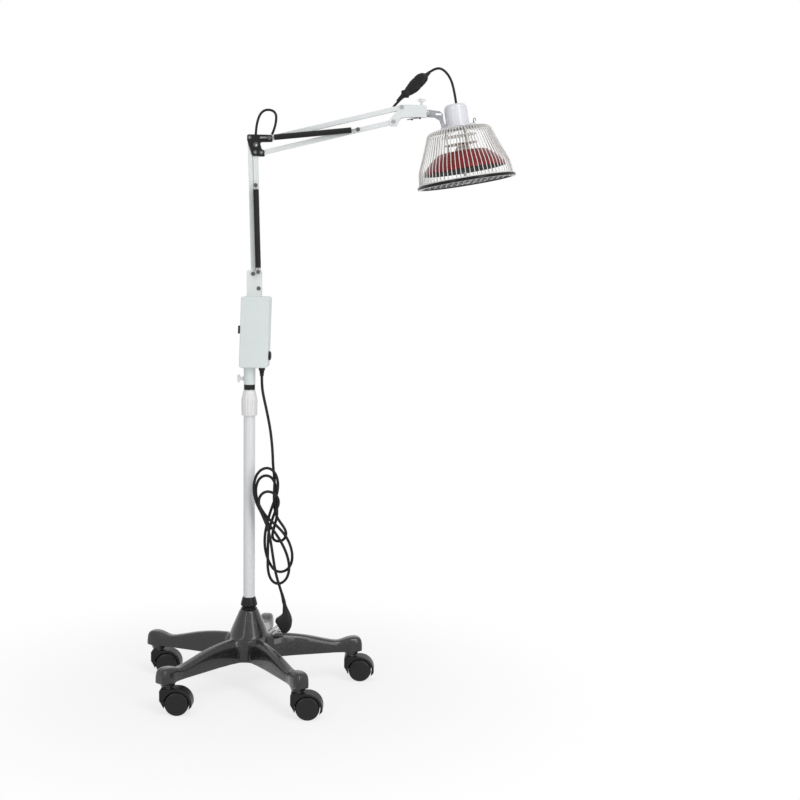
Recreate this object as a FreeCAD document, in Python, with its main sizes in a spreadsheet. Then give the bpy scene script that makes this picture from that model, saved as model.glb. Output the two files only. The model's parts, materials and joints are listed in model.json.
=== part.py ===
"""Infrared heat therapy lamp on a five-star caster stand.

The origin lies on the floor under the column, +X points to the lamp head and +Z up.
Two parallelogram arms, one upright and one reaching forward, carry a wire-caged head.
"""
import FreeCAD, Part
import math
import os
import Sketcher

Vector = FreeCAD.Vector
X_AXIS = Vector(1, 0, 0)
Y_AXIS = Vector(0, 1, 0)
Z_AXIS = Vector(0, 0, 1)

doc = FreeCAD.newDocument("heat_lamp")
dim = doc.addObject("Spreadsheet::Sheet", "dim")
nodes = {}


# ---------------------------------------------------------------- driving dimensions

# Lengths in millimetres and turns in degrees, each one a named cell of the sheet.
DIMENSIONS = {
    # fits
    "running_gap": 0.06,
    "loose_gap": 0.3,
    "pivot_slack": 0.25,

    # five-star base
    "leg_count": 5,
    "leg_first_turn": 14.6,
    "leg_reach": 230,
    "leg_width": 27,
    "leg_under": 67,
    "leg_root_rise": 51,
    "leg_mid_reach": 142,
    "leg_mid_rise": 39,
    "leg_dip_reach": 194,
    "leg_dip_rise": 26,
    "leg_hollow_wall": 4,
    "block_back": 20,
    "block_front": 23,
    "block_rise": 33,
    "block_width": 33,
    "stem_neck_radius": 15,
    "stem_neck_drop": 8,
    "hub_foot_radius": 41,
    "hub_foot_height": 107,
    "hub_top_radius": 20,
    "hub_height": 176,

    # casters
    "wheel_radius": 25,
    "wheel_width": 15,
    "wheel_hub_depth": 2,
    "axle_radius": 3,
    "caster_trail": 20,
    "caster_web": 5,
    "hood_radius": 31.5,
    "hood_inner_radius": 27,
    "hood_boss_half": 15,
    "hood_skirt_height": 14,
    "stem_radius": 5,
    "stem_length": 28.4,

    # column and mast
    "column_radius": 12.5,
    "column_wall": 1.2,
    "column_seat": 72,
    "column_top": 640,
    "mast_wall": 1.5,
    "mast_bottom": 190,
    "mast_top": 704,
    "foot_ring_radius": 18,
    "foot_ring_height": 4,
    "foot_notch_radius": 15.5,
    "foot_notch_height": 2.5,
    "foot_taper_height": 20.5,
    "foot_top_radius": 13.4,
    "bush_length": 10,
    "grip_bottom": 602,
    "grip_length": 35,
    "grip_radius": 17.5,
    "grip_taper_length": 19,
    "grip_top_radius": 12.9,
    "grip_ribs": 24,
    "grip_rib_depth": 0.8,

    # control box
    "box_bottom": 706,
    "box_height": 151.4,
    "box_width": 60.5,
    "box_depth": 50,
    "box_left": 20,
    "box_lean": 4.5,
    "box_corner": 5,
    "box_wall": 2.5,
    "cover_thickness": 2.5,
    "socket_wall": 1.2,
    "socket_length": 37,
    "socket_flange_radius": 17,
    "socket_flange_height": 2,
    "clamp_drop": 25,
    "screw_radius": 2.5,
    "wing_height": 17,
    "wing_length": 6,
    "wing_thickness": 4,
    "clamp_reach": 26,
    "rocker_height": 16,
    "rocker_width": 12,
    "rocker_centre": 786,
    "rocker_proud": 6,
    "rocker_flush": 2.5,
    "rocker_pivot_depth": 4,
    "rocker_pivot_radius": 1.2,
    "knob_radius": 9.8,
    "knob_height": 731,
    "knob_proud": 5.6,
    "knob_shaft_radius": 3,
    "gland_x": 26.5,
    "gland_flange_radius": 7,
    "gland_flange_height": 3,
    "gland_root_radius": 5,
    "gland_length": 19,
    "cord_radius": 3,

    # balanced arms: four bars of one length between pivots
    "arm_length": 285.2,
    "arm_lean": 1.6,
    "arm_rise": 13.8,
    "bar_width": 9.6,
    "bar_depth": 10,
    "bar_wall": 1.2,
    "side_gap": 0.3,
    "plate_thickness": 1.6,
    "pin_radius": 2.5,
    "head_radius": 4.3,
    "head_height": 1.8,
    "shoulder_x": 8,
    "shoulder_height": 47.8,
    "lower_link_x": 12,
    "lower_link_drop": 30.7,
    "elbow_offset_x": 25,
    "elbow_offset_drop": 31,
    "upper_link_x": 17,
    "upper_link_rise": 30.2,
    "bracket_left": 5.7,
    "bracket_right": 26,
    "bracket_headroom": 7,
    "bracket_corner": 3,
    "elbow_margin": 5.5,
    "elbow_corner": 3.5,
    "spacer_x": 13.3,
    "spacer_drop": 15.1,
    "spacer_radius": 4,
    "spacer_head_radius": 5.4,

    # balancing springs
    "spring_sleeve_radius": 6,
    "spring_sleeve_wall": 0.7,
    "spring_sleeve_gap": 8.8,
    "spring_radius": 4.6,
    "spring_wire": 1.1,
    "spring_turns": 12,
    "spring_stand_off": 7,
    "lower_anchor_x": 11.7,
    "lower_anchor_rise": 4,
    "lower_hook_reach": 216.4,
    "upper_hook_reach": 208.8,

    # head bracket and wrist
    "wrist_start": 4,
    "wrist_length": 48,
    "wrist_top": 5.5,
    "wrist_height": 26,
    "wrist_drop": 12,
    "shank_radius": 4,
    "shank_start": 16,
    "nut_radius": 8,
    "nut_length": 4,
    "nut_gap": 0.4,
    "lobe_margin": 8.5,
    "wing_screw_x": 41,
    "wing_screw_rise": 19,
    "strap_thickness": 3,
    "strap_slot_length": 12,
    "strap_slot_height": 4,
    "tilt_x": 35.5,
    "tilt_drop": 23.9,
    "tilt_lobe_radius": 5,
    "ear_thickness": 2,

    # head, in its own frame: origin at the centre of the front rim, local Z up the axis
    "head_tilt": 9.86,
    "tilt_pivot_r": 30.5,
    "tilt_pivot_h": 126.5,
    "rim_outer_radius": 105,
    "rim_inner_radius": 98,
    "rim_height": 6,
    "rim_lip": 1.5,
    "grille_thickness": 1,
    "grille_pitch": 14,
    "grille_web": 1.4,
    "grille_open_radius": 96,
    "grille_slot_length": 9,
    "grille_slot_width": 4,
    "grille_slot_radius": 93.5,
    "cage_wires": 66,
    "cage_wire_radius": 1,
    "cage_ring_radius": 1.5,
    "cage_top_radius": 36,
    "cage_top_height": 115.5,
    "cage_shoulder_radius": 60,
    "cage_shoulder_height": 113,
    "cage_shoulder_drop": 9,
    "cage_shoulder_spread": 9,
    "cage_waist_radius": 96,
    "cage_waist_height": 37,
    "cage_foot_radius": 100,
    "crown_radius": 38,
    "crown_thickness": 3,
    "cap_radius": 24.8,
    "cap_height": 46,
    "cap_round": 9,
    "dish_top_radius": 51,
    "dish_top_height": 66,
    "dish_rim_radius": 88,
    "dish_rim_height": 29.7,
    "dish_bulge_radius": 62,
    "dish_wall": 1.5,
    "plate_radius": 83,
    "plate_bottom": 25.7,
    "mineral_thickness": 4,
    "shield_radius": 36,
    "shield_thickness": 1.2,
    "shield_low": 82,
    "shield_high": 99,
    "rod_radius": 2,
    "rod_circle": 28,
    "insulator_radius": 15,
    "insulator_top_radius": 9,
    "centre_screw_radius": 5,

    # cords
    "lead_radius": 2.6,
}

for row, (alias, value) in enumerate(DIMENSIONS.items(), 1):
    dim.set(f"A{row}", alias)
    dim.set(f"B{row}", str(value))
    dim.setAlias(f"B{row}", alias)
doc.recompute()


def val(expression):
    """The number that an expression of the sheet's dimensions gives."""
    return float(dim.evalExpression(expression))


def add(start, offset):
    """The expression pair for a point at an offset from another."""
    return (f"({start[0]} + {offset[0]})", f"({start[1]} + {offset[1]})")


# ---------------------------------------------------------------- shared geometry

BOX_TOP = "(dim.box_bottom + dim.box_height)"
CLAMP_HEIGHT = "(dim.box_bottom - dim.clamp_drop)"
MAST_RADIUS = "(dim.column_radius - dim.column_wall - dim.running_gap)"
BORE_ROUND_MAST = f"({MAST_RADIUS} + dim.running_gap)"
SOCKET_RADIUS = f"({BORE_ROUND_MAST} + dim.socket_wall)"
SIDE = "(dim.bar_depth / 2 + dim.side_gap)"
SIDE_OUT = f"({SIDE} + dim.plate_thickness)"

LOWER_REACH = ("-dim.arm_length * sin(dim.arm_lean)", "dim.arm_length * cos(dim.arm_lean)")
UPPER_REACH = ("dim.arm_length * cos(dim.arm_rise)", "dim.arm_length * sin(dim.arm_rise)")
SHOULDER_REAR = ("dim.shoulder_x", f"({BOX_TOP} + dim.shoulder_height)")
SHOULDER_FRONT = add(SHOULDER_REAR, ("dim.lower_link_x", "-dim.lower_link_drop"))
ELBOW_REAR = add(SHOULDER_REAR, LOWER_REACH)
ELBOW_FRONT = add(SHOULDER_FRONT, LOWER_REACH)
ELBOW_LOW = add(ELBOW_REAR, ("dim.elbow_offset_x", "-dim.elbow_offset_drop"))
ELBOW_HIGH = add(ELBOW_LOW, ("dim.upper_link_x", "dim.upper_link_rise"))
ELBOW_SPACER = add(ELBOW_REAR, ("dim.spacer_x", "-dim.spacer_drop"))
HEAD_HIGH = add(ELBOW_HIGH, UPPER_REACH)
HEAD_LOW = add(ELBOW_LOW, UPPER_REACH)
LOWER_ANCHOR = add(SHOULDER_REAR, ("dim.lower_anchor_x", "dim.lower_anchor_rise"))
LOWER_HOOK = add(SHOULDER_FRONT, ("-dim.lower_hook_reach * sin(dim.arm_lean)",
                                  "dim.lower_hook_reach * cos(dim.arm_lean)"))
UPPER_HOOK = add(ELBOW_LOW, ("dim.upper_hook_reach * cos(dim.arm_rise)",
                             "dim.upper_hook_reach * sin(dim.arm_rise)"))
WRIST_END = add(HEAD_HIGH, ("dim.wrist_start + dim.wrist_length", "-dim.wrist_drop"))
TILT_PIVOT = add(WRIST_END, ("dim.tilt_x", "-dim.tilt_drop"))
HEAD_ORIGIN = add(TILT_PIVOT, (
    "dim.tilt_pivot_r * cos(dim.head_tilt) + dim.tilt_pivot_h * sin(dim.head_tilt)",
    "dim.tilt_pivot_r * sin(dim.head_tilt) - dim.tilt_pivot_h * cos(dim.head_tilt)"))


# ---------------------------------------------------------------- modelling helpers

def bind(item, **expressions):
    """Bind properties of a document object to expressions."""
    for name, text in expressions.items():
        item.setExpression(name, text)
    return item


def place(item, x="0", y="0", z="0", axis=None, turn=None):
    """Bind an object's position, and its turn about an axis, to expressions."""
    if axis is not None:
        item.Placement = FreeCAD.Placement(Vector(), FreeCAD.Rotation(axis, 10))
        item.setExpression("Placement.Rotation.Angle", turn)
    for letter, text in (("x", x), ("y", y), ("z", z)):
        item.setExpression(f"Placement.Base.{letter}", text)
    return item


def in_head(item):
    """Place a piece that is drawn in the head's own frame."""
    return place(item, HEAD_ORIGIN[0], "0", HEAD_ORIGIN[1], Y_AXIS, "-dim.head_tilt")


def node(label, item):
    """Register a finished sub-part under its own label."""
    item.Label = label
    nodes[label] = item
    return item


def box(name, low, high):
    """A box between two corners given as expressions."""
    item = doc.addObject("Part::Box", name)
    bind(item, Length=f"{high[0]} - ({low[0]})", Width=f"{high[1]} - ({low[1]})",
         Height=f"{high[2]} - ({low[2]})")
    return place(item, *low)


def rod(name, radius, length, x="0", y="0", z="0", along="Z"):
    """A cylinder that starts at a point and runs along one axis."""
    item = doc.addObject("Part::Cylinder", name)
    bind(item, Radius=radius, Height=length)
    if along == "X":
        return place(item, x, y, z, Y_AXIS, "90")
    if along == "Y":
        return place(item, x, y, z, X_AXIS, "-90")
    return place(item, x, y, z)


def fuse(name, shapes):
    """One solid, or a group of apart solids, from several shapes."""
    item = doc.addObject("Part::MultiFuse", name)
    item.Shapes = shapes
    return item


def cut(name, base, tools):
    """A shape less the tools."""
    item = doc.addObject("Part::Cut", name)
    item.Base = base
    item.Tool = tools[0] if len(tools) == 1 else fuse(f"{name}_tools", tools)
    return item


def origin_plane(body, role):
    """One of a body's own origin planes or axes."""
    return [item for item in body.Origin.OriginFeatures if item.Role == role][0]


def arc_between(start, end, radius, clockwise):
    """The shorter arc of a radius from start to end, stored anticlockwise."""
    first, last = (end, start) if clockwise else (start, end)
    half = (last - first) * 0.5
    rise = math.sqrt(max(radius ** 2 - half.Length ** 2, 0))
    side = Vector(half.y, -half.x, 0).normalize()
    centre = first + half - side * rise
    start_angle = math.atan2(first.y - centre.y, first.x - centre.x)
    end_angle = math.atan2(last.y - centre.y, last.x - centre.x)
    return Part.ArcOfCircle(Part.Circle(centre, Z_AXIS, radius), start_angle, end_angle)


def hold(sketch, geometry, point, x, y):
    """Hold a sketch point at two expressions."""
    for kind, axis_line, text in (("DistanceX", -2, x), ("DistanceY", -1, y)):
        if text == "0":
            sketch.addConstraint(Sketcher.Constraint("PointOnObject", geometry, point, axis_line))
        else:
            index = sketch.addConstraint(
                Sketcher.Constraint(kind, -1, 1, geometry, point, val(text)))
            sketch.setExpression(f"Constraints[{index}]", text)


def outline(body, corners, holes=(), role="XZ_Plane", lift=None):
    """A closed sketch through corners held by expressions.

    A corner is (x, y), or (x, y, radius, turn) where the edge that leaves it is an arc
    that turns "left" or "right". A hole is (x, y, radius).
    """
    sketch = body.newObject("Sketcher::SketchObject", f"{body.Name}_sketch")
    sketch.AttachmentSupport = (origin_plane(body, role), [""])
    sketch.MapMode = "FlatFace"
    if lift is not None:
        sketch.setExpression("AttachmentOffset.Base.z", lift)
    points = [Vector(val(corner[0]), val(corner[1]), 0) for corner in corners]
    ends = []
    for number, corner in enumerate(corners):
        start = points[number]
        end = points[(number + 1) % len(points)]
        if len(corner) == 2:
            edge = sketch.addGeometry(Part.LineSegment(start, end), False)
            ends.append((edge, 1, 2))
            continue
        clockwise = corner[3] == "right"
        arc = arc_between(start, end, val(corner[2]), clockwise)
        edge = sketch.addGeometry(arc, False)
        ends.append((edge, 2, 1) if clockwise else (edge, 1, 2))
        index = sketch.addConstraint(Sketcher.Constraint("Radius", edge, val(corner[2])))
        sketch.setExpression(f"Constraints[{index}]", corner[2])
    for number, corner in enumerate(corners):
        edge, first, last = ends[number]
        following = ends[(number + 1) % len(ends)]
        sketch.addConstraint(
            Sketcher.Constraint("Coincident", edge, last, following[0], following[1]))
        hold(sketch, edge, first, corner[0], corner[1])
    for x, y, radius in holes:
        circle = Part.Circle(Vector(val(x), val(y), 0), Z_AXIS, val(radius))
        edge = sketch.addGeometry(circle, False)
        hold(sketch, edge, 3, x, y)
        index = sketch.addConstraint(Sketcher.Constraint("Radius", edge, val(radius)))
        sketch.setExpression(f"Constraints[{index}]", radius)
    return sketch


def pad(body, sketch, length, kind="PartDesign::Pad", side="Symmetric", reverse=False):
    """A pad or pocket of a sketch, to both sides of its plane unless told otherwise."""
    feature = body.newObject(kind, f"{body.Name}_{kind.split('::')[1].lower()}")
    feature.Profile = sketch
    feature.SideType = side
    feature.Reversed = reverse
    feature.setExpression("Length", length)
    return feature


def new_body(label):
    """An empty PartDesign body."""
    return doc.addObject("PartDesign::Body", label)


def turned(label, corners, along="Z"):
    """A body of revolution; its corners are (radius, height) along its axis."""
    body = new_body(label)
    sketch = outline(body, corners)
    feature = body.newObject("PartDesign::Revolution", f"{label}_revolution")
    feature.Profile = sketch
    feature.ReferenceAxis = (sketch, ["V_Axis"])
    feature.Angle = 360
    if along == "X":
        place(body, axis=Y_AXIS, turn="90")
    return body


def tube_corners(inner, outer, low, high):
    """The section of a plain ring or tube."""
    return [(inner, low), (outer, low), (outer, high), (inner, high)]


def upright_edges(shape, direction):
    """Names of the straight edges that run along a direction."""
    names = []
    for number, edge in enumerate(shape.Edges, 1):
        if edge.Curve.TypeId != "Part::GeomLine":
            continue
        if abs(edge.tangentAt(edge.FirstParameter).dot(direction)) > 0.999:
            names.append(f"Edge{number}")
    return names


def round_corners(body, feature, radius, direction):
    """Round every edge of a feature that runs along a direction."""
    doc.recompute()
    fillet = body.newObject("PartDesign::Fillet", f"{body.Name}_fillet")
    fillet.Base = (feature, upright_edges(feature.Shape, direction))
    fillet.setExpression("Radius", radius)
    return fillet


def plate_pair(label, corners, holes, radius):
    """Two like plates, front and back of the arm bars."""
    body = new_body(f"{label}_front")
    sketch = outline(body, corners, holes, lift=SIDE)
    plate = pad(body, sketch, "dim.plate_thickness", side="One side")
    round_corners(body, plate, radius, Y_AXIS)
    mirror = doc.addObject("Part::Mirroring", f"{label}_back")
    mirror.Source = body
    mirror.Normal = Y_AXIS
    pair = doc.addObject("Part::Compound", label)
    pair.Links = [body, mirror]
    return pair


def pin_across(name, point):
    """A pivot pin with a rivet head outside each of two plates."""
    x, z = point
    shank = rod(f"{name}_shank", "dim.pin_radius", f"2 * {SIDE_OUT}", x, f"-{SIDE_OUT}", z, "Y")
    front = rod(f"{name}_front_head", "dim.head_radius", "dim.head_height",
                x, f"-{SIDE_OUT} - dim.head_height", z, "Y")
    back = rod(f"{name}_back_head", "dim.head_radius", "dim.head_height", x, SIDE_OUT, z, "Y")
    return fuse(name, [shank, front, back])


# ---------------------------------------------------------------- base and casters

def base_star():
    """The cast five-star base: a tapered hub with five arched, underside-hollow legs."""
    body = new_body("base_star")
    under = "dim.leg_under"
    neck = "dim.leg_reach"
    corners = [
        ("0", under),
        (f"{neck} + dim.block_front", under),
        (f"{neck} + dim.block_front - 4", f"{under} + dim.block_rise - 4"),
        (f"{neck} + dim.block_front - 12", f"{under} + dim.block_rise"),
        (f"{neck} - dim.block_back + 8", f"{under} + dim.block_rise - 2"),
        ("dim.leg_dip_reach", f"{under} + dim.leg_dip_rise"),
        ("dim.leg_mid_reach", f"{under} + dim.leg_mid_rise"),
        ("dim.hub_foot_radius + 45", f"{under} + dim.leg_root_rise - 2"),
        ("dim.hub_foot_radius", f"{under} + dim.leg_root_rise"),
        ("0", f"{under} + dim.leg_root_rise"),
    ]
    leg = pad(body, outline(body, corners), "dim.leg_width")
    doc.recompute()
    crest = []
    for number, edge in enumerate(leg.Shape.Edges, 1):
        ends = [vertex.Point for vertex in edge.Vertexes]
        middle = (ends[0] + ends[1]) * 0.5
        along_leg = abs(ends[0].y - ends[1].y) < 0.01
        if along_leg and middle.z > val(f"{under} + 5") and middle.x > 1:
            if ends[0].x > 1 and ends[1].x > 1:
                crest.append(f"Edge{number}")
    rounding = body.newObject("PartDesign::Fillet", "leg_rounding")
    rounding.Base = (leg, crest)
    rounding.setExpression("Radius", "dim.leg_width / 5")
    hollow_corners = [
        ("dim.hub_foot_radius", "-dim.leg_width / 2 + dim.leg_hollow_wall"),
        ("dim.leg_dip_reach", "-dim.leg_width / 2 + dim.leg_hollow_wall"),
        ("dim.leg_dip_reach", "dim.leg_width / 2 - dim.leg_hollow_wall"),
        ("dim.hub_foot_radius", "dim.leg_width / 2 - dim.leg_hollow_wall"),
    ]
    floor_sketch = outline(body, hollow_corners, role="XY_Plane", lift=under)
    pad(body, floor_sketch, "dim.leg_dip_rise - dim.leg_hollow_wall",
        kind="PartDesign::Pocket", side="One side", reverse=True)
    block_corners = [
        (f"{neck} - dim.block_back", "-dim.leg_width / 2 + 1"),
        (f"{neck} - dim.block_back / 2", "-dim.block_width / 2"),
        (f"{neck} + dim.block_front / 2", "-dim.block_width / 2"),
        (f"{neck} + dim.block_front - 2", "-dim.leg_width / 2 + 3"),
        (f"{neck} + dim.block_front - 2", "dim.leg_width / 2 - 3"),
        (f"{neck} + dim.block_front / 2", "dim.block_width / 2"),
        (f"{neck} - dim.block_back / 2", "dim.block_width / 2"),
        (f"{neck} - dim.block_back", "dim.leg_width / 2 - 1"),
    ]
    block_sketch = outline(body, block_corners, role="XY_Plane", lift=under)
    pad(body, block_sketch, "dim.block_rise - 5", side="One side")
    neck_sketch = outline(body, [], [(neck, "0", "dim.stem_neck_radius")], "XY_Plane",
                          f"{under} - dim.stem_neck_drop")
    pad(body, neck_sketch, "dim.stem_neck_drop + dim.block_rise / 2", side="One side")
    doc.recompute()
    around = body.newObject("PartDesign::PolarPattern", "leg_pattern")
    around.TransformMode = "Whole shape"
    around.Axis = (origin_plane(body, "Z_Axis"), [""])
    around.Angle = 360
    around.setExpression("Occurrences", "dim.leg_count")
    body.Tip = around
    hub_corners = [
        ("0", under), ("dim.hub_foot_radius + 4", under),
        ("dim.hub_foot_radius", "dim.hub_foot_height"),
        ("dim.hub_top_radius", "dim.hub_height - 2"),
        ("dim.hub_top_radius - 2", "dim.hub_height"), ("0", "dim.hub_height"),
    ]
    hub = body.newObject("PartDesign::Revolution", "hub")
    hub.Profile = outline(body, hub_corners)
    hub.ReferenceAxis = (origin_plane(body, "Z_Axis"), [""])
    hub.Angle = 360
    bore = outline(body, [], [("0", "0", "dim.column_radius")], "XY_Plane", "dim.column_seat")
    pad(body, bore, "dim.hub_height - dim.column_seat + 1", kind="PartDesign::Pocket",
        side="One side", reverse=True)
    place(body, axis=Z_AXIS, turn="dim.leg_first_turn")
    holes = []
    for number in range(int(val("dim.leg_count"))):
        x, y = caster_point(number)
        holes.append(rod(f"stem_hole_{number + 1}", "dim.stem_radius", "dim.stem_length",
                         x, y, STEM_BOTTOM))
    node("base_star", cut("base_star_drilled", body, holes))


HOOD_TOP = "(dim.wheel_radius + dim.hood_radius)"
STEM_BOTTOM = "(dim.leg_under - dim.stem_neck_drop + 16 - dim.stem_length)"


def caster_point(number):
    """Where one caster's stem stands, as expressions."""
    angle = f"(dim.leg_first_turn + {number} * 360 / dim.leg_count)"
    return (f"(dim.leg_reach * cos({angle}))", f"(dim.leg_reach * sin({angle}))")


def caster_stems():
    """The steel stems, each with a collar between the leg's neck and the hood."""
    stems = []
    collar_height = f"(dim.leg_under - dim.stem_neck_drop - {HOOD_TOP} - dim.loose_gap)"
    for number in range(int(val("dim.leg_count"))):
        x, y = caster_point(number)
        stem = rod(f"stem_{number + 1}", "dim.stem_radius", "dim.stem_length", x, y, STEM_BOTTOM)
        collar = rod(f"stem_collar_{number + 1}", "dim.stem_radius + 4", collar_height,
                     x, y, f"{HOOD_TOP} + dim.loose_gap")
        stems.append(fuse(f"caster_stem_{number + 1}", [stem, collar]))
    node("caster_stems", fuse("caster_stems", stems))


def hood_shape():
    """A caster hood in its own frame: stem axis at the origin, wheel centre at +X."""
    body = new_body("hood_body")
    trail = "dim.caster_trail"
    outer = "dim.hood_radius"
    inner = "dim.hood_inner_radius"
    boss_left = "-dim.hood_boss_half"
    axle = "dim.wheel_radius"
    skirt_drop = f"({axle} - dim.hood_skirt_height)"
    rise_inner = f"sqrt({inner} * {inner} - {skirt_drop} * {skirt_drop})"
    rise_outer = f"sqrt({outer} * {outer} - ({skirt_drop} - 6) * ({skirt_drop} - 6))"
    left_low = f"sqrt({inner} * {inner} - 8 * 8)"
    corners = [
        (f"{boss_left} + 3", f"{axle} + 4"),
        (f"{trail} - {left_low}", f"{axle} - 8", inner, "right"),
        (trail, f"{axle} + {inner}", inner, "right"),
        (f"{trail} + {rise_inner}", "dim.hood_skirt_height"),
        (f"{trail} + {rise_outer}", "dim.hood_skirt_height + 6", outer, "left"),
        (trail, HOOD_TOP),
        (f"{boss_left} + 3", HOOD_TOP),
        (boss_left, f"{HOOD_TOP} - 4"),
        (boss_left, f"{axle} + 8"),
    ]
    width = "(dim.caster_web + 2 * dim.wheel_width)"
    arch = pad(body, outline(body, corners), width)
    doc.recompute()
    crest = []
    for number, edge in enumerate(arch.Shape.Edges, 1):
        ends = [vertex.Point for vertex in edge.Vertexes]
        if abs(ends[0].y - ends[1].y) > 0.01:
            continue
        middle = edge.valueAt((edge.FirstParameter + edge.LastParameter) / 2)
        reach = math.hypot(middle.x - val(trail), middle.z - val(axle))
        if reach > val(outer) - 2 and middle.z > val(f"{axle} + 10"):
            crest.append(f"Edge{number}")
    rounding = body.newObject("PartDesign::Fillet", "hood_rounding")
    rounding.Base = (arch, crest)
    rounding.Radius = 2
    web = outline(body, [(f"{boss_left} + 4", f"{axle} + 5"),
                         (f"{trail} - 16", f"{axle} - 9"),
                         (f"{trail} + 5", f"{axle} - 9"),
                         (f"{trail} + 9", f"{axle} + 5"),
                         (f"{trail} + 9", f"{axle} + {inner}"),
                         ("0", f"{axle} + {inner}")])
    pad(body, web, "dim.caster_web - 2 * dim.loose_gap")
    return body


def casters():
    """Five twin-wheel casters, all trailing towards +X."""
    hood = hood_shape()
    trail = "dim.caster_trail"
    axle_height = "dim.wheel_radius"
    span = "(dim.caster_web / 2 + dim.wheel_width)"
    stem_bore = rod("hood_bore", "dim.stem_radius + dim.running_gap",
                    HOOD_TOP, z=STEM_BOTTOM)
    axle_hole = rod("hood_axle_hole", "dim.axle_radius", "dim.caster_web",
                    trail, "-dim.caster_web / 2", axle_height, "Y")
    shell = cut("hood_drilled", hood, [stem_bore, axle_hole])
    axle = rod("axle", "dim.axle_radius", f"2 * {span} - 4", trail, f"-{span} + 2",
               axle_height, "Y")
    group = doc.addObject("Part::Compound", "hood_and_axle")
    group.Links = [shell, axle]
    inner_face = "(dim.caster_web / 2)"
    rim = "dim.wheel_radius"
    bore = "(dim.axle_radius + dim.running_gap)"
    wheel = turned("wheel", [
        (bore, inner_face), (f"{rim} - 2", inner_face), (rim, f"{inner_face} + 2"),
        (rim, f"{span} - 4"), (f"{rim} - 4", span), (f"{rim} - 8", span),
        (f"{rim} - 10", f"{span} - dim.wheel_hub_depth"),
        ("0", f"{span} - dim.wheel_hub_depth"), ("0", f"{span} - 1.9"),
        (bore, f"{span} - 1.9")])
    place(wheel, trail, "0", axle_height, X_AXIS, "90")
    other = doc.addObject("Part::Mirroring", "other_wheel")
    other.Source = wheel
    other.Normal = Y_AXIS
    pair = doc.addObject("Part::Compound", "wheel_pair")
    pair.Links = [wheel, other]
    doc.recompute()
    for number in range(int(val("dim.leg_count"))):
        x, y = caster_point(number)
        for label, source in (("caster_hood", group), ("caster_wheels", pair)):
            copy = doc.addObject("Part::Compound", f"{label}_{number + 1}")
            copy.Links = [source]
            node(f"{label}_{number + 1}", place(copy, x, y, "0"))


# ---------------------------------------------------------------- column and mast

def column():
    """The foot collar, the fixed column, the sliding mast, its bush and the twist grip."""
    ring_top = "(dim.hub_height + dim.foot_ring_height)"
    notch_top = f"({ring_top} + dim.foot_notch_height)"
    bore = "dim.column_radius"
    node("mast_collar", turned("mast_collar", [
        (bore, "dim.hub_height"), ("dim.foot_ring_radius", "dim.hub_height"),
        ("dim.foot_ring_radius", ring_top), ("dim.foot_notch_radius", ring_top),
        ("dim.foot_notch_radius", notch_top), ("dim.foot_ring_radius", notch_top),
        ("dim.foot_top_radius", f"{notch_top} + dim.foot_taper_height"),
        (bore, f"{notch_top} + dim.foot_taper_height")]))
    node("lower_column", turned("lower_column", tube_corners(
        "dim.column_radius - dim.column_wall", "dim.column_radius",
        "dim.column_seat", "dim.column_top")))
    node("inner_tube", turned("inner_tube", tube_corners(
        f"{MAST_RADIUS} - dim.mast_wall", MAST_RADIUS, "dim.mast_bottom", "dim.mast_top")))
    bush_top = "(dim.column_top + dim.bush_length)"
    bush_radius = "(dim.column_radius - 0.2)"
    node("column_bush", turned("column_bush", tube_corners(
        BORE_ROUND_MAST, bush_radius, "dim.column_top", bush_top)))
    taper_low = "(dim.grip_bottom + dim.grip_length)"
    taper_high = f"({taper_low} + dim.grip_taper_length)"
    wide_bore = "(dim.column_radius + dim.running_gap)"
    grip = turned("twist_collar", [
        (wide_bore, "dim.grip_bottom"), ("dim.grip_radius - 1", "dim.grip_bottom"),
        ("dim.grip_radius", "dim.grip_bottom + 1"), ("dim.grip_radius", taper_low),
        ("dim.grip_top_radius", taper_high), (BORE_ROUND_MAST, taper_high),
        (BORE_ROUND_MAST, f"{bush_top} + dim.loose_gap"),
        (wide_bore, f"{bush_top} + dim.loose_gap")])
    groove = outline(grip, [], [("dim.grip_radius + 0.6", "0", "dim.grip_rib_depth + 0.6")],
                     "XY_Plane", "dim.grip_bottom + 2")
    doc.recompute()
    pocket = pad(grip, groove, "dim.grip_length - 4", kind="PartDesign::Pocket",
                 side="One side", reverse=True)
    around = grip.newObject("PartDesign::PolarPattern", "rib_pattern")
    around.Originals = [pocket]
    around.Axis = (origin_plane(grip, "Z_Axis"), [""])
    around.Angle = 360
    around.setExpression("Occurrences", "dim.grip_ribs")
    grip.Tip = around
    node("twist_collar", grip)


# ---------------------------------------------------------------- control box

def box_corners(inset, low="dim.box_bottom", high=BOX_TOP):
    """The leaning front outline of the control box, inset by an expression."""
    left = "-dim.box_left"
    right = "dim.box_width - dim.box_left"
    return [(f"{left} + {inset}", f"{low} + {inset}"),
            (f"{right} - {inset}", f"{low} + {inset}"),
            (f"{right} + dim.box_lean - {inset}", f"{high} - {inset}"),
            (f"{left} + dim.box_lean + {inset}", f"{high} - {inset}")]


def box_side(height):
    """How far the box's leaning sides have moved towards +X at a height."""
    return f"(dim.box_lean * ({height} - dim.box_bottom) / dim.box_height)"


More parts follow.
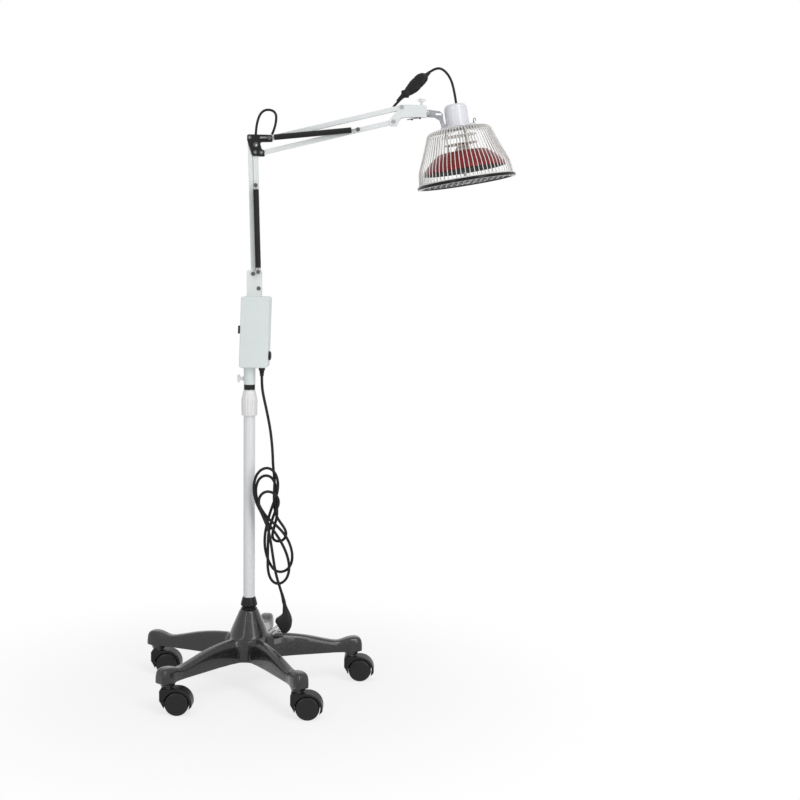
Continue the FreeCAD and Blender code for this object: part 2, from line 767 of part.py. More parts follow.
def control_box():
    """The box shell, open at the back, its rear cover and what sits in its walls."""
    shell = new_body("box_shell")
    front = "(dim.box_depth / 2)"
    block = pad(shell, outline(shell, box_corners("0")), "dim.box_depth")
    rounding = round_corners(shell, block, "dim.box_corner", Y_AXIS)
    doc.recompute()
    face_edges = []
    for number, edge in enumerate(rounding.Shape.Edges, 1):
        if all(abs(vertex.Point.y + val(front)) < 0.01 for vertex in edge.Vertexes):
            face_edges.append(f"Edge{number}")
    soft = shell.newObject("PartDesign::Fillet", "box_front_rounding")
    soft.Base = (rounding, face_edges)
    soft.Radius = 2
    inside = outline(shell, box_corners("dim.box_wall"), lift=f"-{front}")
    pad(shell, inside, "dim.box_depth - dim.box_wall", kind="PartDesign::Pocket",
        side="One side", reverse=True)
    left_wall = f"(-dim.box_left + {box_side('dim.rocker_centre')})"
    right_wall = f"(dim.box_width - dim.box_left + {box_side('dim.knob_height')})"
    half = "(dim.rocker_height / 2 + 1)"
    switch_hole = box("switch_hole", (f"{left_wall} - 3", "-dim.rocker_width / 2 - 0.6",
                                      f"dim.rocker_centre - {half}"),
                      (f"{left_wall} + 5", "dim.rocker_width / 2 + 0.6",
                       f"dim.rocker_centre + {half}"))
    knob_hole = rod("knob_hole", "dim.knob_shaft_radius + dim.running_gap", "12",
                    f"{right_wall} - 6", "0", "dim.knob_height", "X")
    node("control_box", cut("control_box_cut", shell, [switch_hole, knob_hole]))
    cover = new_body("box_rear_cover")
    cover_pad = pad(cover, outline(cover, box_corners("0"),
                                   lift=f"-{front} - dim.cover_thickness"),
                    "dim.cover_thickness", side="One side")
    round_corners(cover, cover_pad, "dim.box_corner", Y_AXIS)
    node("box_rear_cover", cover)
    rocker(left_wall)
    knob(right_wall)
    node("cord_gland", place(turned("cord_gland", [
        ("0", "-dim.gland_length"), ("dim.cord_radius + 0.6", "-dim.gland_length"),
        ("dim.gland_root_radius", "-dim.gland_flange_height"),
        ("dim.gland_flange_radius", "-dim.gland_flange_height"),
        ("dim.gland_flange_radius", "0"), ("0", "0")]), "dim.gland_x", "0", "dim.box_bottom"))


def rocker(wall):
    """The rocker switch: a wedge that tips on two trunnions behind the left wall."""
    half = "dim.rocker_height / 2"
    body = new_body("rocker_switch")
    corners = [(f"{wall} - dim.rocker_proud", f"dim.rocker_centre + {half}"),
               (f"{wall} - dim.rocker_flush", f"dim.rocker_centre - {half}"),
               (f"{wall} + 3", f"dim.rocker_centre - {half} + 1"),
               (f"{wall} + 5", "dim.rocker_centre"),
               (f"{wall} + 3", f"dim.rocker_centre + {half} - 1")]
    pad(body, outline(body, corners), "dim.rocker_width")
    trunnions = rod("rocker_trunnions", "dim.rocker_pivot_radius", "dim.rocker_width + 2",
                    f"{wall} + dim.rocker_pivot_depth", "-dim.rocker_width / 2 - 1",
                    "dim.rocker_centre", "Y")
    node("rocker_switch", fuse("rocker_with_trunnions", [body, trunnions]))


def knob(wall):
    """The round timer knob on the right wall, domed, on a short shaft."""
    gap = "dim.loose_gap"
    item = turned("timer_knob", [
        ("0", "-8"), ("dim.knob_shaft_radius", "-8"), ("dim.knob_shaft_radius", gap),
        ("dim.knob_radius", gap), ("dim.knob_radius", "dim.knob_proud - 2.6"),
        ("dim.knob_radius - 2", "dim.knob_proud - 0.8"), ("3", "dim.knob_proud"),
        ("0", "dim.knob_proud")])
    node("timer_knob", place(item, wall, "0", "dim.knob_height", Y_AXIS, "90"))


def post_socket():
    """The socket under the box, which turns on the mast, and its clamping wing screw."""
    low = "(dim.box_bottom - dim.socket_length)"
    flange = "(dim.box_bottom - dim.socket_flange_height)"
    body = turned("socket_body", [
        (BORE_ROUND_MAST, low), (SOCKET_RADIUS, low), (SOCKET_RADIUS, flange),
        ("dim.socket_flange_radius", flange), ("dim.socket_flange_radius", "dim.box_bottom"),
        ("0", "dim.box_bottom"), ("0", "dim.mast_top + dim.loose_gap"),
        (BORE_ROUND_MAST, "dim.mast_top + dim.loose_gap")])
    boss = rod("screw_boss", "dim.screw_radius + 2", f"dim.clamp_reach - 10 - {MAST_RADIUS} - 1",
               "-dim.clamp_reach + 10", "0", CLAMP_HEIGHT, "X")
    core = rod("socket_core", BORE_ROUND_MAST, "dim.socket_length", z=f"{low} - 1")
    hole = rod("screw_hole", "dim.screw_radius + dim.running_gap", "dim.clamp_reach",
               "-dim.clamp_reach", "0", CLAMP_HEIGHT, "X")
    node("post_socket", cut("post_socket_cut", fuse("socket_with_boss", [body, boss]),
                            [core, hole]))
    wing_screw("socket_thumb_screw", "X", "-dim.clamp_reach", CLAMP_HEIGHT,
               f"dim.clamp_reach - {MAST_RADIUS} - dim.loose_gap")


def wing_screw(label, along, x, z, length):
    """A thumb screw: a round hub and two flat wings on a plain shank."""
    shank = rod(f"{label}_shank", "dim.screw_radius", length, along="Z")
    hub = rod(f"{label}_hub", "dim.screw_radius + 1.5", "dim.wing_length + 1", along="Z")
    wing = box(f"{label}_wing", ("-dim.wing_height / 2", "-dim.wing_thickness / 2", "0"),
               ("dim.wing_height / 2", "dim.wing_thickness / 2", "dim.wing_length"))
    rounded = doc.addObject("Part::Fillet", f"{label}_rounded")
    rounded.Base = wing
    doc.recompute()
    corners = [int(name[4:]) for name in upright_edges(wing.Shape, Y_AXIS)]
    rounded.Edges = [(number, 2.4, 2.4) for number in corners]
    item = fuse(label, [shank, hub, rounded])
    turn = "90" if along == "X" else "180"
    node(label, place(item, x, "0", z, Y_AXIS, turn))


# ---------------------------------------------------------------- balanced arms

def bar(label, pivot, turn, web_up, open_hole, anchor=None):
    """A channel-section arm bar with a pivot hole at each end.

    It lies along local +X from its first pivot; the web is on local +Z or -Z and the
    open side is opposite. The hole at the far end is the looser one where the closed
    linkage is opened.
    """
    round_radius = "dim.bar_width / 2"
    half = "dim.bar_depth / 2"
    solid = fuse(f"{label}_solid", [
        box(f"{label}_run", ("0", f"-{half}", f"-{round_radius}"),
            ("dim.arm_length", half, round_radius)),
        rod(f"{label}_end_a", round_radius, "dim.bar_depth", "0", f"-{half}", "0", "Y"),
        rod(f"{label}_end_b", round_radius, "dim.bar_depth", "dim.arm_length", f"-{half}",
            "0", "Y")])
    low, high = f"-{round_radius} - 1", f"{round_radius} - dim.bar_wall"
    if not web_up:
        low, high = f"-{round_radius} + dim.bar_wall", f"{round_radius} + 1"
    void = box(f"{label}_void", (f"-{round_radius} - 1", f"-{half} + dim.bar_wall", low),
               (f"dim.arm_length + {round_radius} + 1", f"{half} - dim.bar_wall", high))
    near = rod(f"{label}_near_hole", "dim.pin_radius + dim.running_gap", "dim.bar_depth + 2",
               "0", f"-{half} - 1", "0", "Y")
    far = rod(f"{label}_far_hole", f"dim.pin_radius + {open_hole}", "dim.bar_depth + 2",
              "dim.arm_length", f"-{half} - 1", "0", "Y")
    item = cut(f"{label}_channel", solid, [void, near, far])
    if anchor is not None:
        post = spring_post(f"{label}_post", anchor, f"{half} - dim.bar_wall")
        item = fuse(f"{label}_with_post", [item, post])
    node(label, place(item, pivot[0], "0", pivot[1], Y_AXIS, turn))


SPRING_DEPTH = "(dim.bar_depth / 2 + dim.side_gap + dim.plate_thickness + dim.spring_stand_off)"


def spring_post(name, x, root, z="0"):
    """A post that stands forward from a depth in a bar or plate and holds a spring's loop."""
    post = rod(f"{name}_shank", "dim.pin_radius - 0.5", f"{SPRING_DEPTH} + 2.5 - ({root})",
               x, f"-{SPRING_DEPTH} - 2.5", z, "Y")
    head = rod(f"{name}_head", "dim.head_radius - 0.3", "1.6", x, f"-{SPRING_DEPTH} - 4", z, "Y")
    return fuse(name, [post, head])


def arm_bars():
    """Two parallel bars in each arm."""
    lower_turn = "-90 - dim.arm_lean"
    upper_turn = "-dim.arm_rise"
    run = "dim.running_gap"
    slack = "dim.pivot_slack"
    bar("lower_arm_outer_bar", SHOULDER_REAR, lower_turn, True, run)
    bar("lower_arm_inner_bar", SHOULDER_FRONT, lower_turn, False, slack, "dim.lower_hook_reach")
    bar("upper_arm_top_bar", ELBOW_HIGH, upper_turn, True, run)
    bar("upper_arm_bottom_bar", ELBOW_LOW, upper_turn, False, slack, "dim.upper_hook_reach")


def arm_bracket():
    """The folded bracket on the box: a web on the left, two cheeks and a foot."""
    wall = "dim.plate_thickness"
    top = f"({SHOULDER_REAR[1]} + dim.bracket_headroom)"
    body = new_body("bracket_body")
    left = "-dim.bracket_left"
    outer = pad(body, outline(body, [
        (left, BOX_TOP), ("dim.bracket_right", BOX_TOP), ("dim.bracket_right", top),
        (left, top)], [
        (SHOULDER_REAR[0], SHOULDER_REAR[1], "dim.pin_radius"),
        (SHOULDER_FRONT[0], SHOULDER_FRONT[1], "dim.pin_radius"),
        (LOWER_ANCHOR[0], LOWER_ANCHOR[1], "dim.pin_radius - 0.5")]), f"2 * {SIDE_OUT}")
    rounding = round_corners(body, outer, "dim.bracket_corner", Y_AXIS)
    doc.recompute()
    inside = outline(body, [
        (f"{left} + {wall}", f"{BOX_TOP} + {wall}"),
        ("dim.bracket_right + 1", f"{BOX_TOP} + {wall}"),
        ("dim.bracket_right + 1", f"{top} + 1"), (f"{left} + {wall}", f"{top} + 1")])
    pad(body, inside, f"2 * {SIDE}", kind="PartDesign::Pocket")
    post = spring_post("lower_anchor_post", LOWER_ANCHOR[0], SIDE, LOWER_ANCHOR[1])
    node("arm_bracket", body)
    pins = [pin_across("shoulder_rear_pin", SHOULDER_REAR),
            pin_across("shoulder_front_pin", SHOULDER_FRONT), post]
    node("shoulder_pins", fuse("shoulder_pins", pins))


def elbow():
    """The black elbow plates, with a lever that reaches to the upper bar, and their pins."""
    margin = "dim.elbow_margin"
    x0, z0 = ELBOW_REAR
    high_x, high_z = ELBOW_HIGH
    low_x, low_z = ELBOW_LOW
    front_x, front_z = ELBOW_FRONT
    corners = [
        (f"{x0} - {margin}", f"{z0} + {margin} + 1"),
        (f"{x0} - {margin}", f"{z0} - {margin}"),
        (f"{front_x} - {margin} - 1", f"{front_z} - {margin} - 2"),
        (f"{low_x} + {margin}", f"{low_z} - {margin} - 2"),
        (f"{low_x} + {margin} + 1", f"{low_z} + 4"),
        (f"{low_x} - 0.5", f"{low_z} + 8"),
        (f"{low_x} - 5", f"{high_z} - {margin} - 2.5"),
        (f"{high_x} + {margin}", f"{high_z} - {margin} - 1.5"),
        (f"{high_x} + {margin}", f"{high_z} + {margin} + 1.5"),
    ]
    corners.reverse()
    pin_hole = "dim.pin_radius"
    holes = [(point[0], point[1], pin_hole)
             for point in (ELBOW_REAR, ELBOW_FRONT, ELBOW_LOW, ELBOW_HIGH)]
    holes.append((ELBOW_SPACER[0], ELBOW_SPACER[1], "dim.pin_radius"))
    node("elbow_plates", plate_pair("elbow_plate", corners, holes, "dim.elbow_corner"))
    pins = [pin_across("elbow_rear_pin", ELBOW_REAR), pin_across("elbow_front_pin", ELBOW_FRONT),
            pin_across("elbow_low_pin", ELBOW_LOW)]
    x, z = ELBOW_SPACER
    spacer = rod("elbow_spacer", "dim.spacer_radius", f"2 * {SIDE}", x, f"-{SIDE}", z, "Y")
    through = rod("spacer_bolt", "dim.pin_radius", f"2 * {SIDE_OUT}", x, f"-{SIDE_OUT}", z, "Y")
    head = rod("spacer_head", "dim.spacer_head_radius", "dim.head_height + 0.6",
               x, f"-{SIDE_OUT} - dim.head_height - 0.6", z, "Y")
    nut = rod("spacer_nut", "dim.spacer_head_radius", "dim.head_height + 0.6", x, SIDE_OUT, z, "Y")
    pins.append(fuse("spacer_bolt_set", [spacer, through, head, nut]))
    high_pin = pin_across("elbow_high_pin", ELBOW_HIGH)
    post = spring_post("upper_anchor_post", high_x, SIDE_OUT, high_z)
    pins.append(fuse("elbow_high_pin_post", [high_pin, post]))
    node("elbow_pins", fuse("elbow_pins", pins))


def spring(label, start, end, start_gap, end_gap):
    """A balancing spring in a black sleeve, between two posts in front of the bars.

    The coil is a closed helix with a straight hook wire and an end loop at each post.
    """
    first = Vector(val(start[0]), -val(SPRING_DEPTH), val(start[1]))
    last = Vector(val(end[0]), -val(SPRING_DEPTH), val(end[1]))
    run = last - first
    length = run.Length
    turn = FreeCAD.Rotation(Z_AXIS, run)
    seat = FreeCAD.Placement(first, turn)
    radius = val("dim.spring_sleeve_radius")
    wall = val("dim.spring_sleeve_wall")
    tube = Part.makeCylinder(radius, length - start_gap - end_gap, Vector(0, 0, start_gap))
    bore = Part.makeCylinder(radius - wall, length, Vector(0, 0, 0))
    sleeve = doc.addObject("Part::Feature", f"{label}_sleeve")
    sleeve.Shape = tube.cut(bore)
    sleeve.Placement = seat
    node(f"{label}_sleeve", sleeve)
    wire = val("dim.spring_wire")
    mean = val("dim.spring_radius") - wire
    coil_start = start_gap + 3
    coil_length = length - start_gap - end_gap - 6
    coil = Part.makeCylinder(mean + wire, coil_length, Vector(0, 0, coil_start))
    coil = coil.cut(Part.makeCylinder(mean - wire, coil_length, Vector(0, 0, coil_start)))
    post = val("dim.pin_radius - 0.5")
    pieces = [coil]
    loop_radius = post + wire + val("dim.running_gap")
    across = turn.inverted().multVec(Y_AXIS)
    for centre, direction, far in ((Vector(0, 0, 0), 1, coil_start),
                                   (Vector(0, 0, length), -1, length - coil_start - coil_length)):
        loop = Part.makeTorus(loop_radius, wire, centre, across)
        reach = far - loop_radius + wire + 0.5
        shank_start = centre + Z_AXIS * direction * loop_radius
        shank = Part.makeCylinder(wire, reach, shank_start, Z_AXIS * direction)
        disc_centre = centre + Z_AXIS * direction * far
        disc = Part.makeCylinder(mean + wire, 1.5, disc_centre, Z_AXIS * direction)
        pieces += [loop, shank, disc]
    body = pieces[0].multiFuse(pieces[1:])
    item = doc.addObject("Part::Feature", label)
    item.Shape = body
    item.Placement = seat
    node(label, item)


def springs():
    """One spring beside each arm."""
    gap = val("dim.spring_sleeve_gap")
    spring("lower_spring", LOWER_ANCHOR, LOWER_HOOK, gap, gap)
    spring("upper_spring", ELBOW_HIGH, UPPER_HOOK, gap + 1.7, gap + 5)


# ---------------------------------------------------------------- head bracket and wrist

def head_bracket():
    """The folded bracket at the upper arm's end and the bearing block inside it."""
    x, z = HEAD_HIGH
    low_x, low_z = HEAD_LOW
    top = f"{z} + dim.wrist_top"
    bottom = f"{z} + dim.wrist_top - dim.wrist_height"
    start = f"{x} + dim.wrist_start"
    end = f"{x} + dim.wrist_start + dim.wrist_length"
    lobe = "dim.lobe_margin"
    corners = [
        (f"{x} - 5", f"{top} - 1"), (f"{x} - 9", f"{z} - 6"),
        (f"{low_x} - {lobe} - 1", f"{low_z} + 3"), (f"{low_x} - {lobe} + 1", f"{low_z} - {lobe}"),
        (f"{low_x} + {lobe} - 2", f"{low_z} - {lobe}"), (f"{x} - 3", f"{bottom} - 3"),
        (f"{start} + 3", bottom), (end, bottom), (end, f"{top} - 1"), (f"{start} + 5", top),
    ]
    body = new_body("head_bracket")
    outer = pad(body, outline(body, corners, [(x, z, "dim.pin_radius"),
                                              (low_x, low_z, "dim.pin_radius")]),
                f"2 * {SIDE_OUT}")
    round_corners(body, outer, "2.5", Y_AXIS)
    doc.recompute()
    wall = "dim.plate_thickness"
    inside = outline(body, [
        (f"{low_x} - 20", f"{bottom} - 20"), (f"{start} + 3", f"{bottom} - 20"),
        (f"{start} + 3", f"{bottom} + {wall}"), (f"{end} - {wall}", f"{bottom} + {wall}"),
        (f"{end} - {wall}", f"{top} - {wall} - 1"), (f"{start} + 5", f"{top} - {wall}"),
        (f"{start} + 5", f"{top} + 10"), (f"{low_x} - 20", f"{top} + 10")])
    pad(body, inside, f"2 * {SIDE}", kind="PartDesign::Pocket")
    shank_hole = rod("bracket_shank_hole", "dim.shank_radius + dim.loose_gap", "10",
                     f"{end} - 5", "0", WRIST_END[1], "X")
    screw_x = f"({x} + dim.wing_screw_x)"
    screw_hole = rod("bracket_screw_hole", "dim.screw_radius + dim.running_gap", "20",
                     screw_x, "0", f"{top} - 10")
    node("head_bracket", cut("head_bracket_cut", body, [shank_hole, screw_hole]))
    node("head_bracket_pins", fuse("head_bracket_pins", [
        pin_across("head_high_pin", HEAD_HIGH), pin_across("head_low_pin", HEAD_LOW)]))
    block = box("bearing_block", (f"{start} + 8", f"-{SIDE} + 0.1", f"{bottom} + {wall} + 0.1"),
                (f"{end} - {wall} - 0.1", f"{SIDE} - 0.1", f"{top} - {wall} - 1.2"))
    bore = rod("bearing_bore", "dim.shank_radius + dim.running_gap", "dim.wrist_length",
               start, "0", WRIST_END[1], "X")
    block_hole = rod("bearing_screw_hole", "dim.screw_radius + dim.running_gap", "20",
                     screw_x, "0", WRIST_END[1])
    node("wrist_bearing", cut("wrist_bearing", block, [bore, block_hole]))
    screw_top = f"({top} + dim.wing_screw_rise - 6)"
    wing_screw("wrist_wing_screw", "Z", screw_x, screw_top,
               f"{screw_top} - {WRIST_END[1]} - dim.shank_radius - dim.loose_gap")


def wrist():
    """The swivel shank, its nut, the slotted tilt strap and the tilt bolt."""
    end_x, axis_z = WRIST_END
    tilt_x, tilt_z = TILT_PIVOT
    start = f"{HEAD_HIGH[0]} + dim.shank_start"
    shaft = rod("shank_shaft", "dim.shank_radius", f"{end_x} + 8 - ({start})", start, "0",
                axis_z, "X")
    nut = rod("shank_nut", "dim.nut_radius", "dim.nut_length", f"{end_x} + dim.nut_gap", "0",
              axis_z, "X")
    flat = box("shank_flat", (f"{end_x} + 4", "dim.strap_thickness / 2", f"{axis_z} - 6"),
               (f"{end_x} + 14", "dim.strap_thickness / 2 + 3", f"{axis_z} + 4"))
    slot_room = box("shank_slot", (f"{end_x} + 5", "-dim.strap_thickness / 2 - 10",
                                   f"{axis_z} - 10"),
                    (f"{end_x} + 20", "dim.strap_thickness / 2", f"{axis_z} + 10"))
    node("swivel_shank", cut("swivel_shank", fuse("shank_set", [shaft, nut, flat]), [slot_room]))
    lobe = "dim.tilt_lobe_radius"
    corners = [
        (f"{end_x} + 5", f"{axis_z} - 8"), (f"{end_x} + 16", f"{axis_z} - 8"),
        (f"{end_x} + 27", f"{axis_z} - 14"), (f"{tilt_x} - {lobe}", tilt_z, lobe, "left"),
        (tilt_x, f"{tilt_z} - {lobe}", lobe, "left"), (f"{tilt_x} + {lobe}", tilt_z),
        (f"{end_x} + 36", f"{axis_z} - 15"), (f"{end_x} + 34", f"{axis_z}"),
        (f"{end_x} + 28", f"{axis_z} + 5"), (f"{end_x} + 5", f"{axis_z} + 8"),
    ]
    strap = new_body("tilt_strap")
    pad(strap, outline(strap, corners, [(tilt_x, tilt_z, "dim.pin_radius")]),
        "dim.strap_thickness")
    doc.recompute()
    slot_left = f"{end_x} + 19"
    slot_low = f"{axis_z} - dim.strap_slot_height / 2 - 1"
    slot = outline(strap, [
        (slot_left, slot_low), (f"{slot_left} + dim.strap_slot_length", slot_low),
        (f"{slot_left} + dim.strap_slot_length", f"{slot_low} + dim.strap_slot_height"),
        (slot_left, f"{slot_low} + dim.strap_slot_height")])
    pad(strap, slot, "dim.strap_thickness + 2", kind="PartDesign::Pocket")
    node("tilt_strap", strap)
    reach = "(dim.strap_thickness / 2 + dim.side_gap + dim.ear_thickness + dim.side_gap)"
    shank = rod("tilt_bolt_shank", "dim.pin_radius", f"2 * {reach}", tilt_x, f"-{reach}",
                tilt_z, "Y")
    front = rod("tilt_bolt_head", "dim.head_radius", "2.4", tilt_x, f"-{reach} - 2.4", tilt_z, "Y")
    back = rod("tilt_bolt_nut", "dim.head_radius", "2.4", tilt_x, reach, tilt_z, "Y")
    node("tilt_bolt", fuse("tilt_bolt", [shank, front, back]))


# ---------------------------------------------------------------- lamp head

def head_crown():
    """The cap, and the crown plate with the two ears of the tilt joint."""
    low = f"({CROWN_TOP})"
    high = f"({low} + dim.cap_height)"
    node("head_cap", in_head(turned("head_cap", [
        ("0", low), ("dim.cap_radius - 0.6", low), ("dim.cap_radius", f"{low} + 3"),
        ("dim.cap_radius - 0.8", f"{high} - dim.cap_round - 6", "dim.cap_round + 6", "left"),
        ("dim.cap_radius - dim.cap_round - 3", f"{high} - 1.4"),
        ("8", high), ("0", high)])))
    disc = rod("crown_disc", "dim.crown_radius", "dim.crown_thickness", z=CROWN_BOTTOM)
    ear_inner = "(dim.strap_thickness / 2 + dim.side_gap)"
    ears = []
    for name, y in (("front", f"-{ear_inner} - dim.ear_thickness"), ("back", ear_inner)):
        lobe = rod(f"ear_lobe_{name}", "dim.tilt_lobe_radius", "dim.ear_thickness",
                   "-dim.tilt_pivot_r", y, "dim.tilt_pivot_h", "Y")
        foot = box(f"ear_foot_{name}",
                   ("-dim.tilt_pivot_r - dim.tilt_lobe_radius", y, CROWN_BOTTOM),
                   ("-dim.tilt_pivot_r + dim.tilt_lobe_radius", f"{y} + dim.ear_thickness",
                    "dim.tilt_pivot_h"))
        ears += [lobe, foot]
    room = box("strap_room", ("-dim.tilt_pivot_r - 14", f"-{ear_inner}", f"{CROWN_BOTTOM} - 1"),
               ("-dim.tilt_pivot_r + dim.tilt_lobe_radius + 0.8", ear_inner,
                "dim.tilt_pivot_h + 20"))
    bore = rod("ear_bore", "dim.pin_radius + dim.running_gap", "20", "-dim.tilt_pivot_r",
               "-10", "dim.tilt_pivot_h", "Y")
    lug = rod("crown_lug", "2", "9", "35", "0", CROWN_BOTTOM)
    plate = cut("crown_plate", fuse("crown_solid", [disc, lug] + ears), [room, bore])
    node("crown_plate", in_head(plate))


CROWN_BOTTOM = "(dim.cage_top_height + dim.cage_ring_radius)"
CROWN_TOP = f"({CROWN_BOTTOM} + dim.crown_thickness)"


def wire_cage():
    """Round wires from the crown ring over a soft shoulder to the foot ring."""
    top_r, top_h = val("dim.cage_top_radius"), val("dim.cage_top_height")
    shoulder_r, shoulder_h = val("dim.cage_shoulder_radius"), val("dim.cage_shoulder_height")
    spread, drop = val("dim.cage_shoulder_spread"), val("dim.cage_shoulder_drop")
    waist_r, waist_h = val("dim.cage_waist_radius"), val("dim.cage_waist_height")
    foot_r, foot_h = val("dim.cage_foot_radius"), val("dim.rim_height + dim.cage_ring_radius")
    wire = val("dim.cage_wire_radius")
    path = [Vector(top_r, 0, top_h), Vector(shoulder_r, 0, shoulder_h),
            Vector(shoulder_r + spread * 0.7, 0, shoulder_h - drop * 0.3),
            Vector(shoulder_r + spread, 0, shoulder_h - drop),
            Vector(waist_r, 0, waist_h), Vector(foot_r, 0, foot_h)]
    section = Part.makePolygon([
        Vector(top_r, wire * math.cos(math.radians(60 * k)),
               top_h + wire * math.sin(math.radians(60 * k))) for k in range(7)])
    pipe = Part.Wire(Part.makePolygon(path)).makePipeShell([section], True, False, 1)
    wires = []
    count = int(val("dim.cage_wires"))
    for number in range(count):
        turned_wire = pipe.copy()
        turned_wire.rotate(Vector(), Z_AXIS, 360 * number / count)
        wires.append(turned_wire)
    ring = val("dim.cage_ring_radius")
    rings = [ring_bar(top_r, top_h, ring), ring_bar(foot_r, foot_h, ring)]
    shape = rings[0].multiFuse([rings[1]] + wires)
    item = doc.addObject("Part::Feature", "wire_cage")
    item.Shape = shape
    node("wire_cage", in_head(item))


def ring_bar(radius, height, half):
    """A ring of square bar about the head's axis."""
    outer = Part.makeCylinder(radius + half, 2 * half, Vector(0, 0, height - half))
    return outer.cut(Part.makeCylinder(radius - half, 2 * half, Vector(0, 0, height - half)))


def face_grille():
    """The flat front disc with hexagonal holes on a triangular pitch and three slots."""
    pitch = val("dim.grille_pitch")
    hole = (pitch - val("dim.grille_web")) / math.sqrt(3)
    reach = val("dim.grille_open_radius") - hole
    keep_clear = val("dim.centre_screw_radius") + 1
    holes = []
    rows = int(reach / pitch) + 2
    for column_number in range(-rows, rows + 1):
        x = column_number * pitch * math.sqrt(3) / 2
        for row_number in range(-rows, rows + 1):
            y = (row_number + 0.5 * (column_number % 2)) * pitch
            distance = math.hypot(x, y)
            if keep_clear < distance < reach:
                holes.append(hexagon(x, y, hole))
    radius = val("dim.grille_slot_radius")
    for turn in (90, 210, 330):
        holes.append(radial_slot(radius, turn))
    rim = Part.Wire(Part.makeCircle(val("dim.rim_inner_radius + 1.5 - dim.loose_gap")))
    centre = Part.Wire(Part.makeCircle(val("dim.pin_radius + dim.loose_gap"), Vector()))
    face = Part.makeFace([rim, centre] + holes, "Part::FaceMakerBullseye")
    face.translate(Vector(0, 0, val("dim.rim_lip")))
    item = doc.addObject("Part::Feature", "face_grille")
    item.Shape = face.extrude(Vector(0, 0, val("dim.grille_thickness")))
    node("face_grille", in_head(item))


def hexagon(x, y, radius):
    """A hexagon outline with flat tops across the local Y direction."""
    corners = []
    for number in range(7):
        angle = math.radians(60 * number)
        corners.append(Vector(x + radius * math.cos(angle), y + radius * math.sin(angle), 0))
    return Part.makePolygon(corners)


def radial_slot(radius, turn):
    """A straight slot that points at the centre, near the grille's edge."""
    half_length = val("dim.grille_slot_length") / 2
    half_width = val("dim.grille_slot_width") / 2
    points = [Vector(radius + sx * half_length, sy * half_width, 0)
              for sx, sy in ((-1, -1), (1, -1), (1, 1), (-1, 1), (-1, -1))]
    slot = Part.makePolygon(points)
    slot.rotate(Vector(), Z_AXIS, turn)
    return slot


def head_inside():
    """The dish, the mineral plate and the heat shields on their rods."""
    rim_r, rim_h = "dim.dish_rim_radius", "dim.dish_rim_height"
    top_r, top_h = "dim.dish_top_radius", "dim.dish_top_height"
    wall = "dim.dish_wall"
    node("reflector_dish", in_head(turned("reflector_dish", [
        ("dim.plate_radius + dim.loose_gap", f"{rim_h} - 3"), (rim_r, f"{rim_h} - 3"),
        (rim_r, rim_h, "dim.dish_bulge_radius", "left"), (top_r, top_h), ("0", top_h),
        ("0", f"{top_h} - {wall}"),
        (f"{top_r} - {wall} / 2", f"{top_h} - {wall}", "dim.dish_bulge_radius", "right"),
        (f"{rim_r} - 2 * {wall}", f"{rim_h} + {wall}"),
        ("dim.plate_radius - 5", f"{rim_h} + {wall}"), ("dim.plate_radius - 5", rim_h),
        ("dim.plate_radius + dim.loose_gap", rim_h)])))
    low = "dim.plate_bottom"
    high = "(dim.plate_bottom + dim.mineral_thickness)"
    node("mineral_plate", in_head(turned("mineral_plate", [
        ("0", low), ("dim.plate_radius - 3", low), ("dim.plate_radius", f"{low} + 3"),
        ("dim.plate_radius", high), ("0", high)])))
    discs = []
    for name, height in (("low", "dim.shield_low"), ("high", "dim.shield_high")):
        discs.append(rod(f"shield_{name}", "dim.shield_radius", "dim.shield_thickness",
                         z=height))
    rods = []
    rod_length = f"{CROWN_BOTTOM} - dim.dish_top_height"
    for number in range(3):
        angle = f"(60 + 120 * {number})"
        rods.append(rod(f"standoff_{number + 1}", "dim.rod_radius", rod_length,
                        f"dim.rod_circle * cos({angle})", f"dim.rod_circle * sin({angle})",
                        "dim.dish_top_height"))
    node("heat_shields", in_head(fuse("heat_shields", discs + rods)))
    node("ceramic_insulator", in_head(turned("ceramic_insulator", [
        ("0", "dim.dish_top_height"), ("dim.insulator_radius", "dim.dish_top_height"),
        ("dim.insulator_top_radius", "dim.shield_low"), ("0", "dim.shield_low")])))


def front_rim():
    """The black front rim and the screw at the grille's centre."""
    inner, outer = "dim.rim_inner_radius", "dim.rim_outer_radius"
    seat_top = "(dim.rim_lip + dim.grille_thickness)"
    node("rim_ring", in_head(turned("rim_ring", [
        (f"{inner} - 1.5", "0"), (f"{outer} - 1", "0"), (outer, "1"),
        (outer, "dim.rim_height - 1"), (f"{outer} - 1", "dim.rim_height"),
        (inner, "dim.rim_height"), (inner, seat_top), (f"{inner} + 1.5", seat_top),
        (f"{inner} + 1.5", "dim.rim_lip"), (f"{inner} - 1.5", "dim.rim_lip")])))
    seat = "(dim.rim_lip + dim.grille_thickness)"
    node("grille_screw", in_head(turned("grille_screw", [
        ("0", "dim.rim_lip - 2"), ("3", "dim.rim_lip - 2"),
        ("dim.centre_screw_radius", "dim.rim_lip - 0.8"), ("dim.centre_screw_radius", "dim.rim_lip"),
        ("dim.pin_radius", "dim.rim_lip"), ("dim.pin_radius", seat), ("4", seat),
        ("4", "dim.plate_bottom"), ("0", "dim.plate_bottom")])))


# ---------------------------------------------------------------- cords

